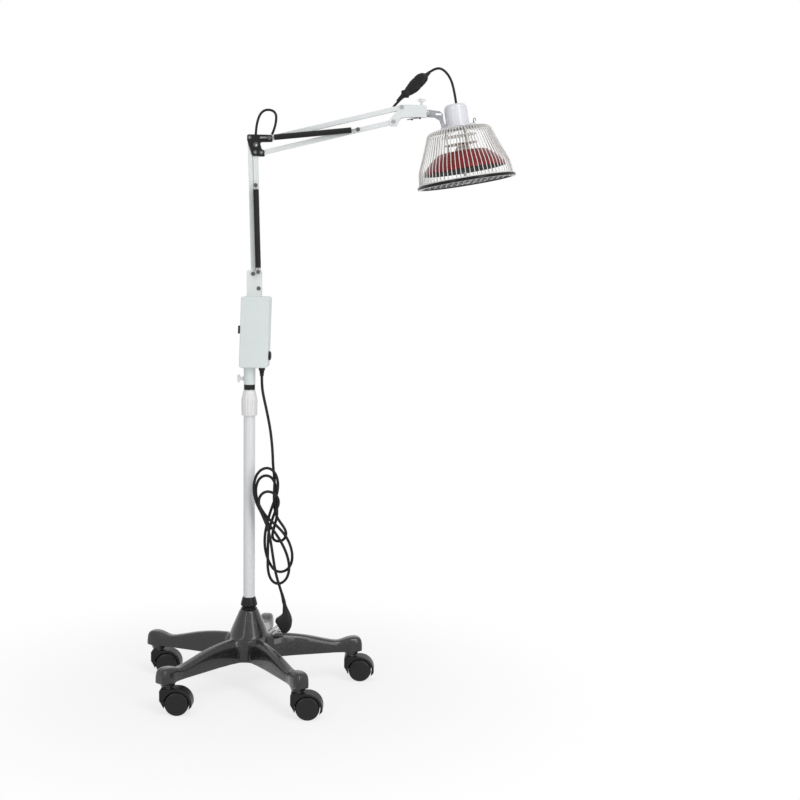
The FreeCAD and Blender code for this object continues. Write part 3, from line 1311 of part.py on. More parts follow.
def rounded_route(points):
    """Straight runs joined by tangent arcs, each as large as its two runs allow."""
    corners = [Vector(*point) for point in points]
    edges = []
    start = corners[0]
    radii = []
    for before, corner, after in zip(corners, corners[1:], corners[2:]):
        back = before - corner
        ahead = after - corner
        turn = math.pi - back.getAngle(ahead)
        trim = 0.45 * min(back.Length, ahead.Length)
        radius = trim / math.tan(turn / 2)
        radii.append(round(radius, 1))
        unit_back = Vector(back).normalize()
        unit_ahead = Vector(ahead).normalize()
        first = corner + unit_back * trim
        last = corner + unit_ahead * trim
        middle_way = (unit_back + unit_ahead).normalize()
        centre = corner + middle_way * (radius / math.cos(turn / 2))
        edges.append(Part.LineSegment(start, first).toShape())
        edges.append(Part.Arc(first, centre - middle_way * radius, last).toShape())
        start = last
    edges.append(Part.LineSegment(start, corners[-1]).toShape())
    return Part.Wire(edges), radii


def cord_tube(label, points, radius):
    """A plain round tube along a hand-chosen route."""
    path, radii = rounded_route(points)
    start = Vector(*points[0])
    ahead = Vector(*points[1]) - start
    section = Part.Wire(Part.makeCircle(radius, start, ahead))
    tube = path.makePipeShell([section], True, False)
    ratio = tube.Volume / (math.pi * radius ** 2 * path.Length)
    print(f"{label}: length {path.Length:.0f} mm, volume ratio {ratio:.4f}, arc radii {radii}")
    item = doc.addObject("Part::Feature", label)
    item.Shape = tube
    node(label, item)


def slab(corners, centre, thickness):
    """A closed flat solid of an outline in a plane at one Y."""
    outline_wire = Part.makePolygon([Vector(x, 0, z) for x, z in corners + corners[:1]])
    solid = Part.Face(outline_wire).extrude(Vector(0, thickness, 0))
    solid.translate(Vector(0, centre - thickness / 2, 0))
    return solid


def solid_node(label, shape):
    """A node from a finished shape."""
    item = doc.addObject("Part::Feature", label)
    item.Shape = shape
    node(label, item)


def mains_lead():
    """The mains lead: down from the gland, into a hank, and on to the hanging plug."""
    radius = val("dim.cord_radius")
    cord_tube("mains_cord", [
        (26.5, 0, 687), (26.5, 0, 669), (29.5, -3, 648), (38.5, -9, 612),
        (47.5, -16.5, 571), (53, -28, 530), (53, -28, 495)], radius)
    hank = [(38, 496), (47, 495), (59, 495), (65, 479), (69, 457), (69.4, 417), (63.3, 379),
            (75, 369), (84, 350), (93, 327), (98.7, 303), (97, 286), (89, 257), (82, 244),
            (72.6, 238.3), (63.4, 235.7), (52, 243.5), (44, 258), (41, 289), (37.6, 315),
            (42, 357), (41.8, 373), (30, 393), (12, 433), (11.2, 451), (14, 471), (23, 487)]
    solid_node("mains_hank", slab(hank, -28, 14))
    cord_tube("mains_tail", [(68, -28, 236.8), (79.4, -28, 196.7)], radius)
    plug = slab([
        (75.7, 195.5), (83.1, 197.5), (89.2, 180), (94.7, 166), (97.5, 156), (93.5, 141),
        (85.4, 133.4), (81.5, 131.5), (61, 153.5), (61, 161), (75, 170), (75.7, 185)], -28, 26)
    blades = [slab([(x + 1.9, z + 0.6), (x + 0.7, z + 1.9), (x - 13.6, z - 11.6),
                             (x - 12.4, z - 12.9)], -28, 6.3)
              for x, z in ((66.9, 147.1), (75.5, 137.9))]
    solid_node("mains_plug", plug.multiFuse(blades))


def arm_leads():
    """The loop that carries the lead round the elbow, and the lead to the cap."""
    radius = val("dim.lead_radius")
    cord_tube("elbow_cable", [
        (12, 0, 1179.4), (11.3, 0, 1214), (25, 0, 1250), (56, 0, 1247), (54, 0, 1214),
        (46, 0, 1197.4)], radius)
    cord_tube("head_lead", [
        (432.8, 0, 1266.8), (428.4, 0, 1293), (420, 0, 1320), (404, 0, 1338),
        (388, 0, 1339.5), (376.1, 0, 1330.9)], radius)
    outline_from_pivot = [(54.8, 76.3), (59.2, 70.3), (53.5, 63), (53.5, 57.5), (47.7, 47.2),
                          (31.5, 30.8), (15.5, 24), (12, 19), (7.5, 19), (-3.5, 11), (-9.5, 15.5),
                          (-2.5, 26), (0.7, 34.7), (6.7, 35.6), (11, 48.1), (28.7, 65.2),
                          (39.8, 71.2), (47.5, 71.2)]
    pivot_x, pivot_z = val(HEAD_HIGH[0]), val(HEAD_HIGH[1])
    connector = [(pivot_x + x, pivot_z + z) for x, z in outline_from_pivot]
    solid_node("lead_connector", slab(connector, 0, 18))


def build_all():
    """Build every sub-part."""
    base_star()
    caster_stems()
    casters()
    column()
    control_box()
    post_socket()
    arm_bracket()
    arm_bars()
    elbow()
    springs()
    head_bracket()
    wrist()
    head_crown()
    wire_cage()
    face_grille()
    head_inside()
    front_rim()
    mains_lead()
    arm_leads()


def export_all():
    """Check every object and write one STEP file for each sub-part."""
    doc.recompute()
    failed = [item.Name for item in doc.Objects
              if "Invalid" in item.State or "Error" in item.State]
    if failed:
        raise RuntimeError(f"failed objects: {failed}")
    os.makedirs("parts", exist_ok=True)
    for label, item in nodes.items():
        shape = item.Shape
        if shape.isNull() or not shape.isValid() or not shape.Solids:
            raise RuntimeError(f"{label} has no valid solid")
        shape.exportStep(f"parts/{label}.step")
    print(f"{len(nodes)} sub-parts written")


build_all()
export_all()
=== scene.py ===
"""Infrared heat lamp on a five-star caster stand, dressed as a sidebar add-on.

Every piece is worked out in metres in the frame's own axes: the column's axis is Z, the
arm reaches along +X and the floor is z = 0. Numbers that go through mm() or eased_mm() are
written in millimetres.
"""

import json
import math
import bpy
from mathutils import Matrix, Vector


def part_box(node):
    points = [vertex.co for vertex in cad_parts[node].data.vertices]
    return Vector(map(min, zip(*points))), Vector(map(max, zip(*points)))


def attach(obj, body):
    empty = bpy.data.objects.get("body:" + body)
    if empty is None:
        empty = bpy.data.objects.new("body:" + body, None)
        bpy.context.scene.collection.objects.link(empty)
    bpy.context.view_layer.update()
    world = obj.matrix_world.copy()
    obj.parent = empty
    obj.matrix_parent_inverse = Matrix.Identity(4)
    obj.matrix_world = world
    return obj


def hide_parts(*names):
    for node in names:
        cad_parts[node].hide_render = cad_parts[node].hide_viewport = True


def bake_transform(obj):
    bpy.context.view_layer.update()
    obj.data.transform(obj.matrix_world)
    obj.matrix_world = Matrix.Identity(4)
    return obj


bl_info = {
    "name": "Heat Lamp Pieces",
    "version": (1, 0, 0),
    "blender": (4, 5, 0),
    "location": "View3D > Sidebar > Heat Lamp",
    "description": "Builds the visible pieces of an infrared heat lamp around its frame",
    "category": "Add Mesh",
}

import bmesh
import bpy
import numpy as np
from mathutils import Matrix, Vector

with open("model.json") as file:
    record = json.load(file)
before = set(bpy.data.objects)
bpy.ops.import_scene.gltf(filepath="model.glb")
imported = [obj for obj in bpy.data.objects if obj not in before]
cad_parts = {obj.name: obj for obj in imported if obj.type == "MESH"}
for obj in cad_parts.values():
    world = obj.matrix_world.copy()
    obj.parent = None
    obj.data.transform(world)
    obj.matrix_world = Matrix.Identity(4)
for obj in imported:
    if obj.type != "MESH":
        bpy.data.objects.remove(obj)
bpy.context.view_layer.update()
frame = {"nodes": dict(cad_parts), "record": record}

NODE_BODY = {node: body for body, members in frame["record"]["behaviour"]["bodies"].items()
             for node in members}
NODE_SLOT = {entry["node"]: entry["material_slot"] for entry in frame["record"]["subparts"]}

X_AXIS = np.array((1.0, 0.0, 0.0))
Y_AXIS = np.array((0.0, 1.0, 0.0))
Z_AXIS = np.array((0.0, 0.0, 1.0))


# ---------------------------------------------------------------- places taken from the frame

def middle(node):
    """The centre of a node's box."""
    low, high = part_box(node)
    return (np.array(low) + np.array(high)) / 2


HEAD_TILT = math.radians(9.86)
HEAD_UP = np.array((-math.sin(HEAD_TILT), 0.0, math.cos(HEAD_TILT)))
HEAD_OUT = np.array((math.cos(HEAD_TILT), 0.0, math.sin(HEAD_TILT)))
RIM_HEIGHT = 0.006
HEAD_ORIGIN = middle("rim_ring") - HEAD_UP * RIM_HEIGHT / 2


def carried(points, origin, first, second, third):
    """Points (u, v, w) as origin + u first + v second + w third."""
    return (np.asarray(origin) + points[..., 0:1] * first + points[..., 1:2] * second
            + points[..., 2:3] * third)


def in_head(points):
    """Head coordinates (out, across, up) turned by the head's tilt and moved to its rim."""
    return carried(points, HEAD_ORIGIN, HEAD_OUT, Y_AXIS, HEAD_UP)


# ---------------------------------------------------------------- surfaces

def mm(values):
    """Given millimetres as an array in metres."""
    return np.asarray(values, float) / 1000


def grid(points, close_rows=False, close_columns=False):
    """A grid of points joined by quads; either direction may run on into its own start."""
    rows, columns = points.shape[:2]
    index = np.arange(rows * columns).reshape(rows, columns)
    if close_rows:
        index = np.vstack((index, index[:1]))
    if close_columns:
        index = np.hstack((index, index[:, :1]))
    quads = np.stack((index[:-1, :-1], index[1:, :-1], index[1:, 1:], index[:-1, 1:]), axis=-1)
    return points.reshape(-1, 3), [quads.reshape(-1, 4)]


def skin(points):
    """Rows of closed sections joined by quads, with a flat face on the first and last row."""
    rows, columns = points.shape[:2]
    flat, faces = grid(points, close_columns=True)
    faces.append(np.arange(columns)[None, ::-1])
    faces.append(np.arange((rows - 1) * columns, rows * columns)[None, :])
    return flat, faces


def together(shells):
    """Several shells as one list of points and faces."""
    points, faces, start = [], [], 0
    for shell_points, shell_faces in shells:
        points.append(shell_points)
        faces += [block + start for block in shell_faces]
        start += len(shell_points)
    return np.concatenate(points), faces


def moved(shell, function):
    """A shell whose points are sent through a function of the whole array."""
    points, faces = shell
    return function(points), faces


def eased(corners, radii, steps=6, closed=True):
    """A polygon whose corners give way to short parabolas.

    Corner C between A and B becomes (1-t)^2 P + 2t(1-t) C + t^2 Q, where P and Q lie the
    corner's radius from C towards A and B, but never past 0.45 of that side.
    """
    corners = np.asarray(corners, float)
    radii = np.array(np.broadcast_to(radii, len(corners)), float)
    if not closed:
        radii[[0, -1]] = 0
    back = np.roll(corners, 1, axis=0) - corners
    ahead = np.roll(corners, -1, axis=0) - corners
    back_length = np.maximum(np.linalg.norm(back, axis=1), 1e-9)
    ahead_length = np.maximum(np.linalg.norm(ahead, axis=1), 1e-9)
    start = corners + back * np.minimum(radii / back_length, 0.45)[:, None]
    end = corners + ahead * np.minimum(radii / ahead_length, 0.45)[:, None]
    t = np.linspace(0, 1, steps)[None, :, None]
    curve = (1 - t) ** 2 * start[:, None] + 2 * t * (1 - t) * corners[:, None]
    curve = (curve + t ** 2 * end[:, None]).reshape(-1, corners.shape[1])
    keep = np.linalg.norm(curve - np.roll(curve, 1, axis=0), axis=1) > 1e-7
    keep[0] = keep[0] or not closed
    return curve[keep]


def eased_mm(corners, radii, steps=6, closed=True):
    """The same, with corners and radii given in millimetres."""
    return eased(mm(corners), mm(radii), steps, closed)


def flowing(points, spans=8):
    """The smooth quadratic B-spline of a list of control points, from its first to its last.

    Span i is ((1-t)^2 A + (1 + 2t - 2t^2) B + t^2 C) / 2 of three neighbours A, B, C.
    """
    points = np.asarray(points, float)
    padded = np.concatenate((points[:1], points, points[-1:]))
    first, second, third = padded[:-2, None], padded[1:-1, None], padded[2:, None]
    t = np.linspace(0, 1, spans, endpoint=False)[None, :, None]
    curve = ((1 - t) ** 2 * first + (1 + 2 * t - 2 * t ** 2) * second + t ** 2 * third) / 2
    return np.concatenate((curve.reshape(-1, points.shape[1]), points[-1:]))


def turned(profile, segments=96, close=False, ripple=None):
    """A (radius, height) profile turned about local Z: (r cos a, r sin a, height).

    ripple(angle, height) gives a radius to add, for flutes and ribs.
    """
    profile = np.asarray(profile, float)
    angle = np.linspace(0, 2 * math.pi, segments, endpoint=False)[None, :]
    radius = np.repeat(profile[:, :1], segments, axis=1)
    height = np.repeat(profile[:, 1:2], segments, axis=1)
    if ripple is not None:
        radius = radius + ripple(angle, height)
    points = np.stack((radius * np.cos(angle), radius * np.sin(angle), height), axis=-1)
    return grid(points, close_rows=close, close_columns=True)


def tube(path, radius, side=(0, 1, 0), segments=16, closed=False):
    """A round section carried along a path: point = path + r (cos a n + sin a b).

    n is across the path and the given side direction, and b across n and the path.
    """
    path = np.asarray(path, float)
    if closed:
        tangent = np.roll(path, -1, axis=0) - np.roll(path, 1, axis=0)
    else:
        tangent = np.gradient(path, axis=0)
    tangent /= np.linalg.norm(tangent, axis=1)[:, None]
    normal = np.cross(np.asarray(side, float), tangent)
    normal /= np.linalg.norm(normal, axis=1)[:, None]
    binormal = np.cross(tangent, normal)
    angle = np.linspace(0, 2 * math.pi, segments, endpoint=False)[None, :, None]
    radius = np.broadcast_to(np.asarray(radius, float), len(path))[:, None, None]
    ring = np.cos(angle) * normal[:, None] + np.sin(angle) * binormal[:, None]
    points = path[:, None] + radius * ring
    if closed:
        return grid(points, close_rows=True, close_columns=True)
    return skin(points)


def inset(outline, amount):
    """A closed flat outline with every point moved inwards along its mitre."""
    back = outline - np.roll(outline, 1, axis=0)
    ahead = np.roll(outline, -1, axis=0) - outline
    back = back / np.linalg.norm(back, axis=1)[:, None]
    ahead = ahead / np.linalg.norm(ahead, axis=1)[:, None]
    inward = np.stack((-(back + ahead)[:, 1], (back + ahead)[:, 0]), axis=-1)
    area = np.sum(outline[:, 0] * np.roll(outline[:, 1], -1)
                  - np.roll(outline[:, 0], -1) * outline[:, 1])
    inward *= math.copysign(2, area) / np.maximum(np.sum(inward ** 2, axis=1), 0.4)[:, None]
    return outline + inward * amount


def slab(outline, low, high, ease=0.0005):
    """A flat outline with thickness, its rims rounded by quarter circles of radius ease.

    Returns points as (u, v, w), where w runs from low to high.
    """
    turn = np.linspace(0, math.pi / 2, 4)
    insets = np.concatenate((ease * (1 - np.sin(turn)), ease * (1 - np.sin(turn[::-1]))))
    levels = np.concatenate((low + ease * (1 - np.cos(turn)),
                             high - ease * (1 - np.cos(turn[::-1]))))
    rows = np.stack([np.column_stack((inset(outline, amount), np.full(len(outline), level)))
                     for amount, level in zip(insets, levels)])
    return skin(rows)


def along(shell, origin, axis):
    """A shell about local Z carried to an origin with its Z along an axis."""
    axis = np.asarray(axis, float) / np.linalg.norm(axis)
    first = np.cross(Y_AXIS, axis)
    if np.linalg.norm(first) < 1e-6:
        first = np.cross(X_AXIS, axis)
    first /= np.linalg.norm(first)
    second = np.cross(axis, first)
    return moved(shell, lambda points: carried(points, origin, first, second, axis))


def signed_power(values, power):
    """sgn(v) |v|^p, which squares up a circle's cosine and sine where p is below 1."""
    return np.sign(values) * np.abs(values) ** power


# ---------------------------------------------------------------- pieces

# how far edges are rounded: moulded grips and hoods, machined and folded steel, thin parts
MOULDED_EDGE, STEEL_EDGE, THIN_EDGE = 0.0008, 0.0004, 0.0003


def placed(name, data):
    """A new object in the scene, with the data that it shows."""
    item = bpy.data.objects.new(name, data)
    bpy.context.scene.collection.objects.link(item)
    return item


def mesh_of(name, shell):
    """A mesh from a shell's points and its blocks of faces."""
    points, faces = shell
    mesh = bpy.data.meshes.new(name)
    mesh.from_pydata(points.tolist(), [], [row for block in faces for row in block.tolist()])
    return mesh


def shaded(mesh, surface, sharp):
    """A mesh in one finish, smooth up to an angle between faces in degrees."""
    mesh.shade_smooth()
    mesh.set_sharp_from_angle(angle=math.radians(sharp))
    mesh.materials.clear()
    mesh.materials.append(material(surface))
    return mesh


def dressed(name, mesh, surface, body, replaces, sharp, rounding=0.0):
    """Merge doubles, turn faces outwards, round edges if asked, and hang it on a body."""
    work = bmesh.new()
    work.from_mesh(mesh)
    bmesh.ops.remove_doubles(work, verts=work.verts, dist=1e-6)
    bmesh.ops.dissolve_degenerate(work, edges=work.edges, dist=1e-7)
    bmesh.ops.recalc_face_normals(work, faces=work.faces)
    work.to_mesh(mesh)
    work.free()
    item = placed(name, shaded(mesh, surface, sharp))
    if rounding:
        edges = item.modifiers.new("rounded_edges", "BEVEL")
        edges.width = rounding
        edges.segments = 2
        edges.limit_method = "ANGLE"
        edges.angle_limit = math.radians(sharp)
        edges.harden_normals = True
    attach(item, body)
    if replaces:
        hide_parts(*replaces)
    return item


def piece(name, shell, surface, body, replaces=(), sharp=35):
    """One mesh object from a shell, in one finish, hung on a body."""
    return dressed(name, mesh_of(name, shell), surface, body, replaces, sharp)


def refined(node, rounding=STEEL_EDGE, surface=None):
    """A copy of a frame node with flat faces joined and edges rounded, shown in its place."""
    mesh = frame["nodes"][node].data.copy()
    work = bmesh.new()
    work.from_mesh(mesh)
    bmesh.ops.remove_doubles(work, verts=work.verts, dist=1e-6)
    bmesh.ops.dissolve_limit(work, angle_limit=math.radians(0.5), verts=work.verts,
                             edges=work.edges)
    work.to_mesh(mesh)
    work.free()
    slot = NODE_SLOT[node]
    dressed(f"{node}_refined", mesh, surface or slot, NODE_BODY[node], (node,), 32,
            rounding)


def finish_node(node, surface=None):
    """Give a frame node that keeps its own mesh a finish."""
    mesh = frame["nodes"][node].data
    mesh.materials.clear()
    mesh.materials.append(material(surface or NODE_SLOT[node]))


# ---------------------------------------------------------------- materials

# the part of a noise's range that tone and gloss are spread over
NOISE_LOW, NOISE_HIGH = 0.3, 0.7


def add_node(tree, kind, **values):
    """A shader node with some of its inputs or settings filled in."""
    node = tree.nodes.new(kind)
    for key, value in values.items():
        if key in node.inputs:
            node.inputs[key].default_value = value
        else:
            setattr(node, key, value)
    return node


def fill(node, values):
    """Values for a node's inputs, by their names or numbers."""
    for key, value in values.items():
        node.inputs[key].default_value = value


def join(tree, *links):
    """Links between sockets, each as (node, its output, next node, its input)."""
    for start, output, end, entry in links:
        tree.links.new(start.outputs[output], end.inputs[entry])


def node_of(tree, kind):
    """The first node of a type in a material."""
    return next(node for node in tree.nodes if node.type == kind)


def toned(colour, share):
    """A colour made darker or lighter."""
    return [min(channel * share, 1.0) for channel in colour]


def ramp(tree, first, last, start=0.0, stop=1.0):
    """A colour ramp from one colour to another."""
    node = add_node(tree, "ShaderNodeValToRGB")
    low, high = node.color_ramp.elements
    low.position, low.color = start, (*first, 1)
    high.position, high.color = stop, (*last, 1)
    return node


def grain_group():
    """Node group: a slow drift of tone and a fine grain, from two noises on one vector.

    Tone and Grain both run around 0.5; Height goes from Grain to Tone by the share Drift.
    """
    if "surface_grain" in bpy.data.node_groups:
        return bpy.data.node_groups["surface_grain"]
    tree = bpy.data.node_groups.new("surface_grain", "ShaderNodeTree")
    face = tree.interface
    face.new_socket("Vector", in_out="INPUT", socket_type="NodeSocketVector")
    for name, value in (("Drift Scale", 12.0), ("Grain Scale", 900.0), ("Drift", 0.3)):
        face.new_socket(name, in_out="INPUT", socket_type="NodeSocketFloat").default_value = value
    for name in ("Tone", "Grain", "Height"):
        face.new_socket(name, in_out="OUTPUT", socket_type="NodeSocketFloat")
    source = tree.nodes.new("NodeGroupInput")
    result = tree.nodes.new("NodeGroupOutput")
    slow = add_node(tree, "ShaderNodeTexNoise", Detail=3.0)
    fine = add_node(tree, "ShaderNodeTexNoise", Detail=2.0)
    mixed = add_node(tree, "ShaderNodeMix", data_type="FLOAT")
    join(tree, (source, "Vector", slow, "Vector"), (source, "Vector", fine, "Vector"),
         (source, "Drift Scale", slow, "Scale"), (source, "Grain Scale", fine, "Scale"),
         (source, "Drift", mixed, 0), (fine, "Fac", mixed, 2), (slow, "Fac", mixed, 3),
         (slow, "Fac", result, "Tone"), (fine, "Fac", result, "Grain"),
         (mixed, 0, result, "Height"))
    return tree


def finish(name, colour, roughness, metallic=0.0, spread=0.06, rough_spread=0.08,
           drift_scale=12.0, grain_scale=900.0, bump=0.05, bump_depth=0.0002, coat=0.0,
           specular=0.5):
    """A painted, moulded or bare surface with a slow change of tone and a fine grain."""
    made = bpy.data.materials.new(name)
    made.use_nodes = True
    tree = made.node_tree
    shader = tree.nodes["Principled BSDF"]
    fill(shader, {"Metallic": metallic, "Coat Weight": coat, "Coat Roughness": 0.08,
                  "Specular IOR Level": specular})
    place = add_node(tree, "ShaderNodeTexCoord")
    group = add_node(tree, "ShaderNodeGroup", node_tree=grain_group())
    fill(group, {"Drift Scale": drift_scale, "Grain Scale": grain_scale, "Drift": 0.3})
    tone = ramp(tree, toned(colour, 1 - spread), toned(colour, 1 + spread), NOISE_LOW,
                NOISE_HIGH)
    rough = add_node(tree, "ShaderNodeMapRange")
    fill(rough, {"From Min": NOISE_LOW, "From Max": NOISE_HIGH,
                 "To Min": max(roughness - rough_spread, 0.02),
                 "To Max": min(roughness + rough_spread, 1.0)})
    relief = add_node(tree, "ShaderNodeBump", Strength=bump, Distance=bump_depth)
    join(tree, (place, "Object", group, "Vector"), (group, "Tone", tone, "Fac"),
         (tone, "Color", shader, "Base Color"), (group, "Grain", rough, "Value"),
         (rough, "Result", shader, "Roughness"), (group, "Height", relief, "Height"),
         (relief, "Normal", shader, "Normal"))
    return made


def hammered(name, colour):
    """Hammer-finish enamel: glossy, with small round dimples whose rims catch the light, and the
    bottom of every dimple painted lighter as a painted sparkle.
    """
    made = finish(name, colour, 0.22, metallic=0.1, spread=0.25, grain_scale=500.0, coat=0.65,
                  specular=0.28)
    tree = made.node_tree
    place, relief = node_of(tree, "TEX_COORD"), node_of(tree, "BUMP")
    bent = add_node(tree, "ShaderNodeTexNoise", Scale=90.0, Detail=2.0)
    shift = add_node(tree, "ShaderNodeMix", data_type="VECTOR")
    cells = add_node(tree, "ShaderNodeTexVoronoi", Scale=520.0, feature="SMOOTH_F1")
    fill(shift, {0: 0.02})
    fill(cells, {"Smoothness": 0.6})
    fill(relief, {"Strength": 0.75, "Distance": 0.0006})
    # painted sparkle: the enamel's colour made 1.5 times lighter at the bottom of every dimple
    painted_sparkle = ramp(tree, toned(colour, 1.5), colour, 0.05, 0.45)
    join(tree, (place, "Object", bent, "Vector"), (place, "Object", shift, 4),
         (bent, "Color", shift, 5), (shift, 1, cells, "Vector"),
         (cells, "Distance", relief, "Height"), (cells, "Distance", painted_sparkle, "Fac"),
         (painted_sparkle, "Color", tree.nodes["Principled BSDF"], "Base Color"))
    return made


def rolled_steel(name, colour, roughness):
    """Zinc-coated sheet: metal with crystal patches of slightly different tone."""
    made = finish(name, colour, roughness, metallic=1.0, spread=0.1, grain_scale=1200.0)
    tree = made.node_tree
    patches = add_node(tree, "ShaderNodeTexVoronoi", Scale=160.0)
    tone = ramp(tree, toned(colour, 0.82), toned(colour, 1.12))
    join(tree, (node_of(tree, "TEX_COORD"), "Object", patches, "Vector"),
         (patches, "Color", tone, "Fac"),
         (tone, "Color", tree.nodes["Principled BSDF"], "Base Color"))
    return made


def build_materials(colours):
    """Every finish of the lamp, by its own name."""
    return {
        "cast_base": hammered("hammered_enamel", colours.base),
        "white_paint": finish("column_powder_coat", colours.column, 0.32, spread=0.02,
                              grain_scale=1600.0, bump=0.12),
        "arm_paint": finish("arm_powder_coat", colours.arm, 0.38, spread=0.03,
                            grain_scale=1600.0, bump=0.12),
        "box_paint": finish("box_powder_coat", colours.box, 0.42, spread=0.025,
                            grain_scale=1400.0, bump=0.2),
        "white_plastic": finish("white_moulding", colours.white_plastic, 0.4, spread=0.03),
        "black_plastic": finish("black_moulding", colours.black, 0.4, spread=0.2,
                                grain_scale=1100.0, bump=0.25, specular=0.22),
        "black_plate": finish("black_plate_paint", colours.black, 0.34, spread=0.25,
                              specular=0.25),
        "bright_steel": finish("bright_plated_steel", colours.bright, 0.22, metallic=1.0),
        "rivet": finish("dull_steel", toned(colours.bright, 0.28), 0.3, metallic=1.0),
        "tip": finish("polished_steel", toned(colours.bright, 1.2), 0.2, metallic=1.0),
        "galvanised": rolled_steel("galvanised_sheet", colours.galvanised, 0.38),
        "spring_steel": finish("oiled_spring_wire", colours.spring, 0.3, metallic=1.0),
        "wheel": finish("wheel_nylon", colours.black, 0.26, spread=0.2, grain_scale=700.0,
                        specular=0.28),
        "cord": finish("cord_sheath", colours.cord, 0.45, spread=0.15, grain_scale=1500.0,
                       specular=0.22),
        "cap_enamel": finish("cap_enamel", colours.cap, 0.16, spread=0.015, rough_spread=0.03,
                             bump=0.03, coat=0.2),
        "cage_wire": finish("cage_wire_coat", colours.cage, 0.34, spread=0.04,
                            drift_scale=60.0),
        "red_enamel": finish("red_vitreous_enamel", colours.dish, 0.3, spread=0.12,
                             rough_spread=0.04, drift_scale=30.0, bump=0.04, specular=0.35),
        "mineral": finish("mineral_coating", colours.mineral, 0.75, spread=0.35,
                          grain_scale=1500.0, bump=0.6, bump_depth=0.0004, specular=0.3),
        "black_enamel": finish("black_enamel", colours.black, 0.12, spread=0.2,
                               rough_spread=0.03, specular=0.16),
        # painted sheen: the grille's black made six times lighter to stand in for the light on
        # its bars
        "grille": finish("grille_enamel_painted_sheen", toned(colours.black, 6), 0.2, spread=0.2,
                         rough_spread=0.03, metallic=0.4, coat=1.0, specular=1.0),
        "shield": finish("pressed_shield_sheet", colours.shield, 0.36),
        "ceramic": finish("glazed_ceramic", colours.ceramic, 0.3, spread=0.03, coat=0.3),
    }


# ---------------------------------------------------------------- sizes and colours to change

def length_property(name, default, text):
    """A length in metres for the sidebar."""
    return bpy.props.FloatProperty(name=name, default=default, min=0.0001, unit="LENGTH",
                                   precision=5, description=text)


def colour_property(name, default, text):
    """A linear colour for the sidebar."""
    return bpy.props.FloatVectorProperty(name=name, default=default, size=3, min=0, max=1,
                                         subtype="COLOR", description=text)


class HeatLampSizes(bpy.types.PropertyGroup):
    """Sizes of what is added to the frame."""
    mains_diameter: length_property("Mains lead", 0.006, "Diameter of the mains lead")
    lead_diameter: length_property("Thin leads", 0.0052, "Diameter of the leads along the arm")
    edge_round: length_property("Edge rounding", 0.0006, "Rounding of sheet and moulded edges")
    cage_wire: length_property("Cage wire", 0.0017, "Diameter of the cage's wires")
    cage_wires: bpy.props.IntProperty(name="Cage wires", default=66, min=12, max=90,
                                      description="Number of wires around the cage")
    grip_ribs: bpy.props.IntProperty(name="Grip ribs", default=16, min=8, max=48,
                                     description="Number of ribs around the twist grip")
    lamp_strength: bpy.props.FloatProperty(name="Studio light", default=1.0, min=0, max=5,
                                           description="Share of the studio light's strength")


class HeatLampColours(bpy.types.PropertyGroup):
    """Colours of the lamp's finishes, in linear light."""
    base: colour_property("Base", (0.0105, 0.011, 0.010), "Hammered enamel of the base")
    column: colour_property("Column", (0.74, 0.75, 0.77), "Powder coat of column and mast")
    arm: colour_property("Arm", (0.735, 0.765, 0.765), "Powder coat of the arm's bars")
    box: colour_property("Box", (0.685, 0.74, 0.735), "Powder coat of the control box")
    white_plastic: colour_property("White moulding", (0.78, 0.78, 0.78), "Grip, gland, knobs")
    black: colour_property("Black", (0.010, 0.010, 0.011), "Black paint and mouldings")
    cord: colour_property("Leads", (0.009, 0.009, 0.010), "Sheath of the leads")
    bright: colour_property("Bright steel", (0.44, 0.44, 0.45), "Plated pins and screws")
    spring: colour_property("Springs", (0.30, 0.30, 0.31), "Oiled wire of the springs")
    galvanised: colour_property("Zinc sheet", (0.31, 0.325, 0.345), "Strap and brackets")
    cap: colour_property("Cap", (0.735, 0.74, 0.785), "Enamel of the head's cap")
    cage: colour_property("Cage", (0.76, 0.76, 0.74), "Coating of the cage")
    dish: colour_property("Dish", (0.20, 0.0035, 0.006), "Enamel of the reflector dish")
    mineral: colour_property("Mineral plate", (0.008, 0.008, 0.009), "Mineral coating")
    shield: colour_property("Shields", (0.74, 0.72, 0.67), "Heat shields inside the cage")
    ceramic: colour_property("Ceramic", (0.86, 0.85, 0.82), "Insulator inside the cage")


MATERIALS = {}


def material(surface):
    """A finish by its name, made with all the others on first use."""
    if not MATERIALS:
        MATERIALS.update(build_materials(bpy.context.scene.heat_lamp_colours))
    return MATERIALS[surface]


# ---------------------------------------------------------------- cords

def flat_points(points):
    """Points given in millimetres, as metres."""
    return [tuple(value / 1000 for value in point) for point in points]


MAINS_ROUTE = flat_points((
    # out of the gland and down beside the mast
    (26.5, 0, 687), (26.5, 0, 669), (29.5, -3, 648), (38.5, -9, 612), (47.5, -16.5, 571),
    (53, -28, 530),
))


def spline_curve(name, points, diameter):
    """One open NURBS curve through a cord's route, with a round section."""
    curve = bpy.data.curves.new(name, "CURVE")
    curve.dimensions = "3D"
    spline = curve.splines.new("NURBS")
    spline.points.add(len(points) - 1)
    spline.points.foreach_set("co", np.column_stack((points, np.ones(len(points)))).ravel())
    spline.order_u = 3
    spline.use_endpoint_u = True
    spline.resolution_u = 8
    curve.bevel_depth = diameter / 2
    curve.bevel_resolution = 4
    curve.use_fill_caps = True
    return curve


def spline_line(points):
    """The centreline that a NURBS curve through the route points draws, as an array."""
    curve = spline_curve("route", points, 0.0)
    holder = bpy.data.objects.new("route", curve)
    mesh = bpy.data.meshes.new_from_object(holder)
    line = np.zeros(len(mesh.vertices) * 3)
    mesh.vertices.foreach_get("co", line)
    bpy.data.objects.remove(holder)
    bpy.data.curves.remove(curve)
    bpy.data.meshes.remove(mesh)
    return line.reshape(-1, 3)


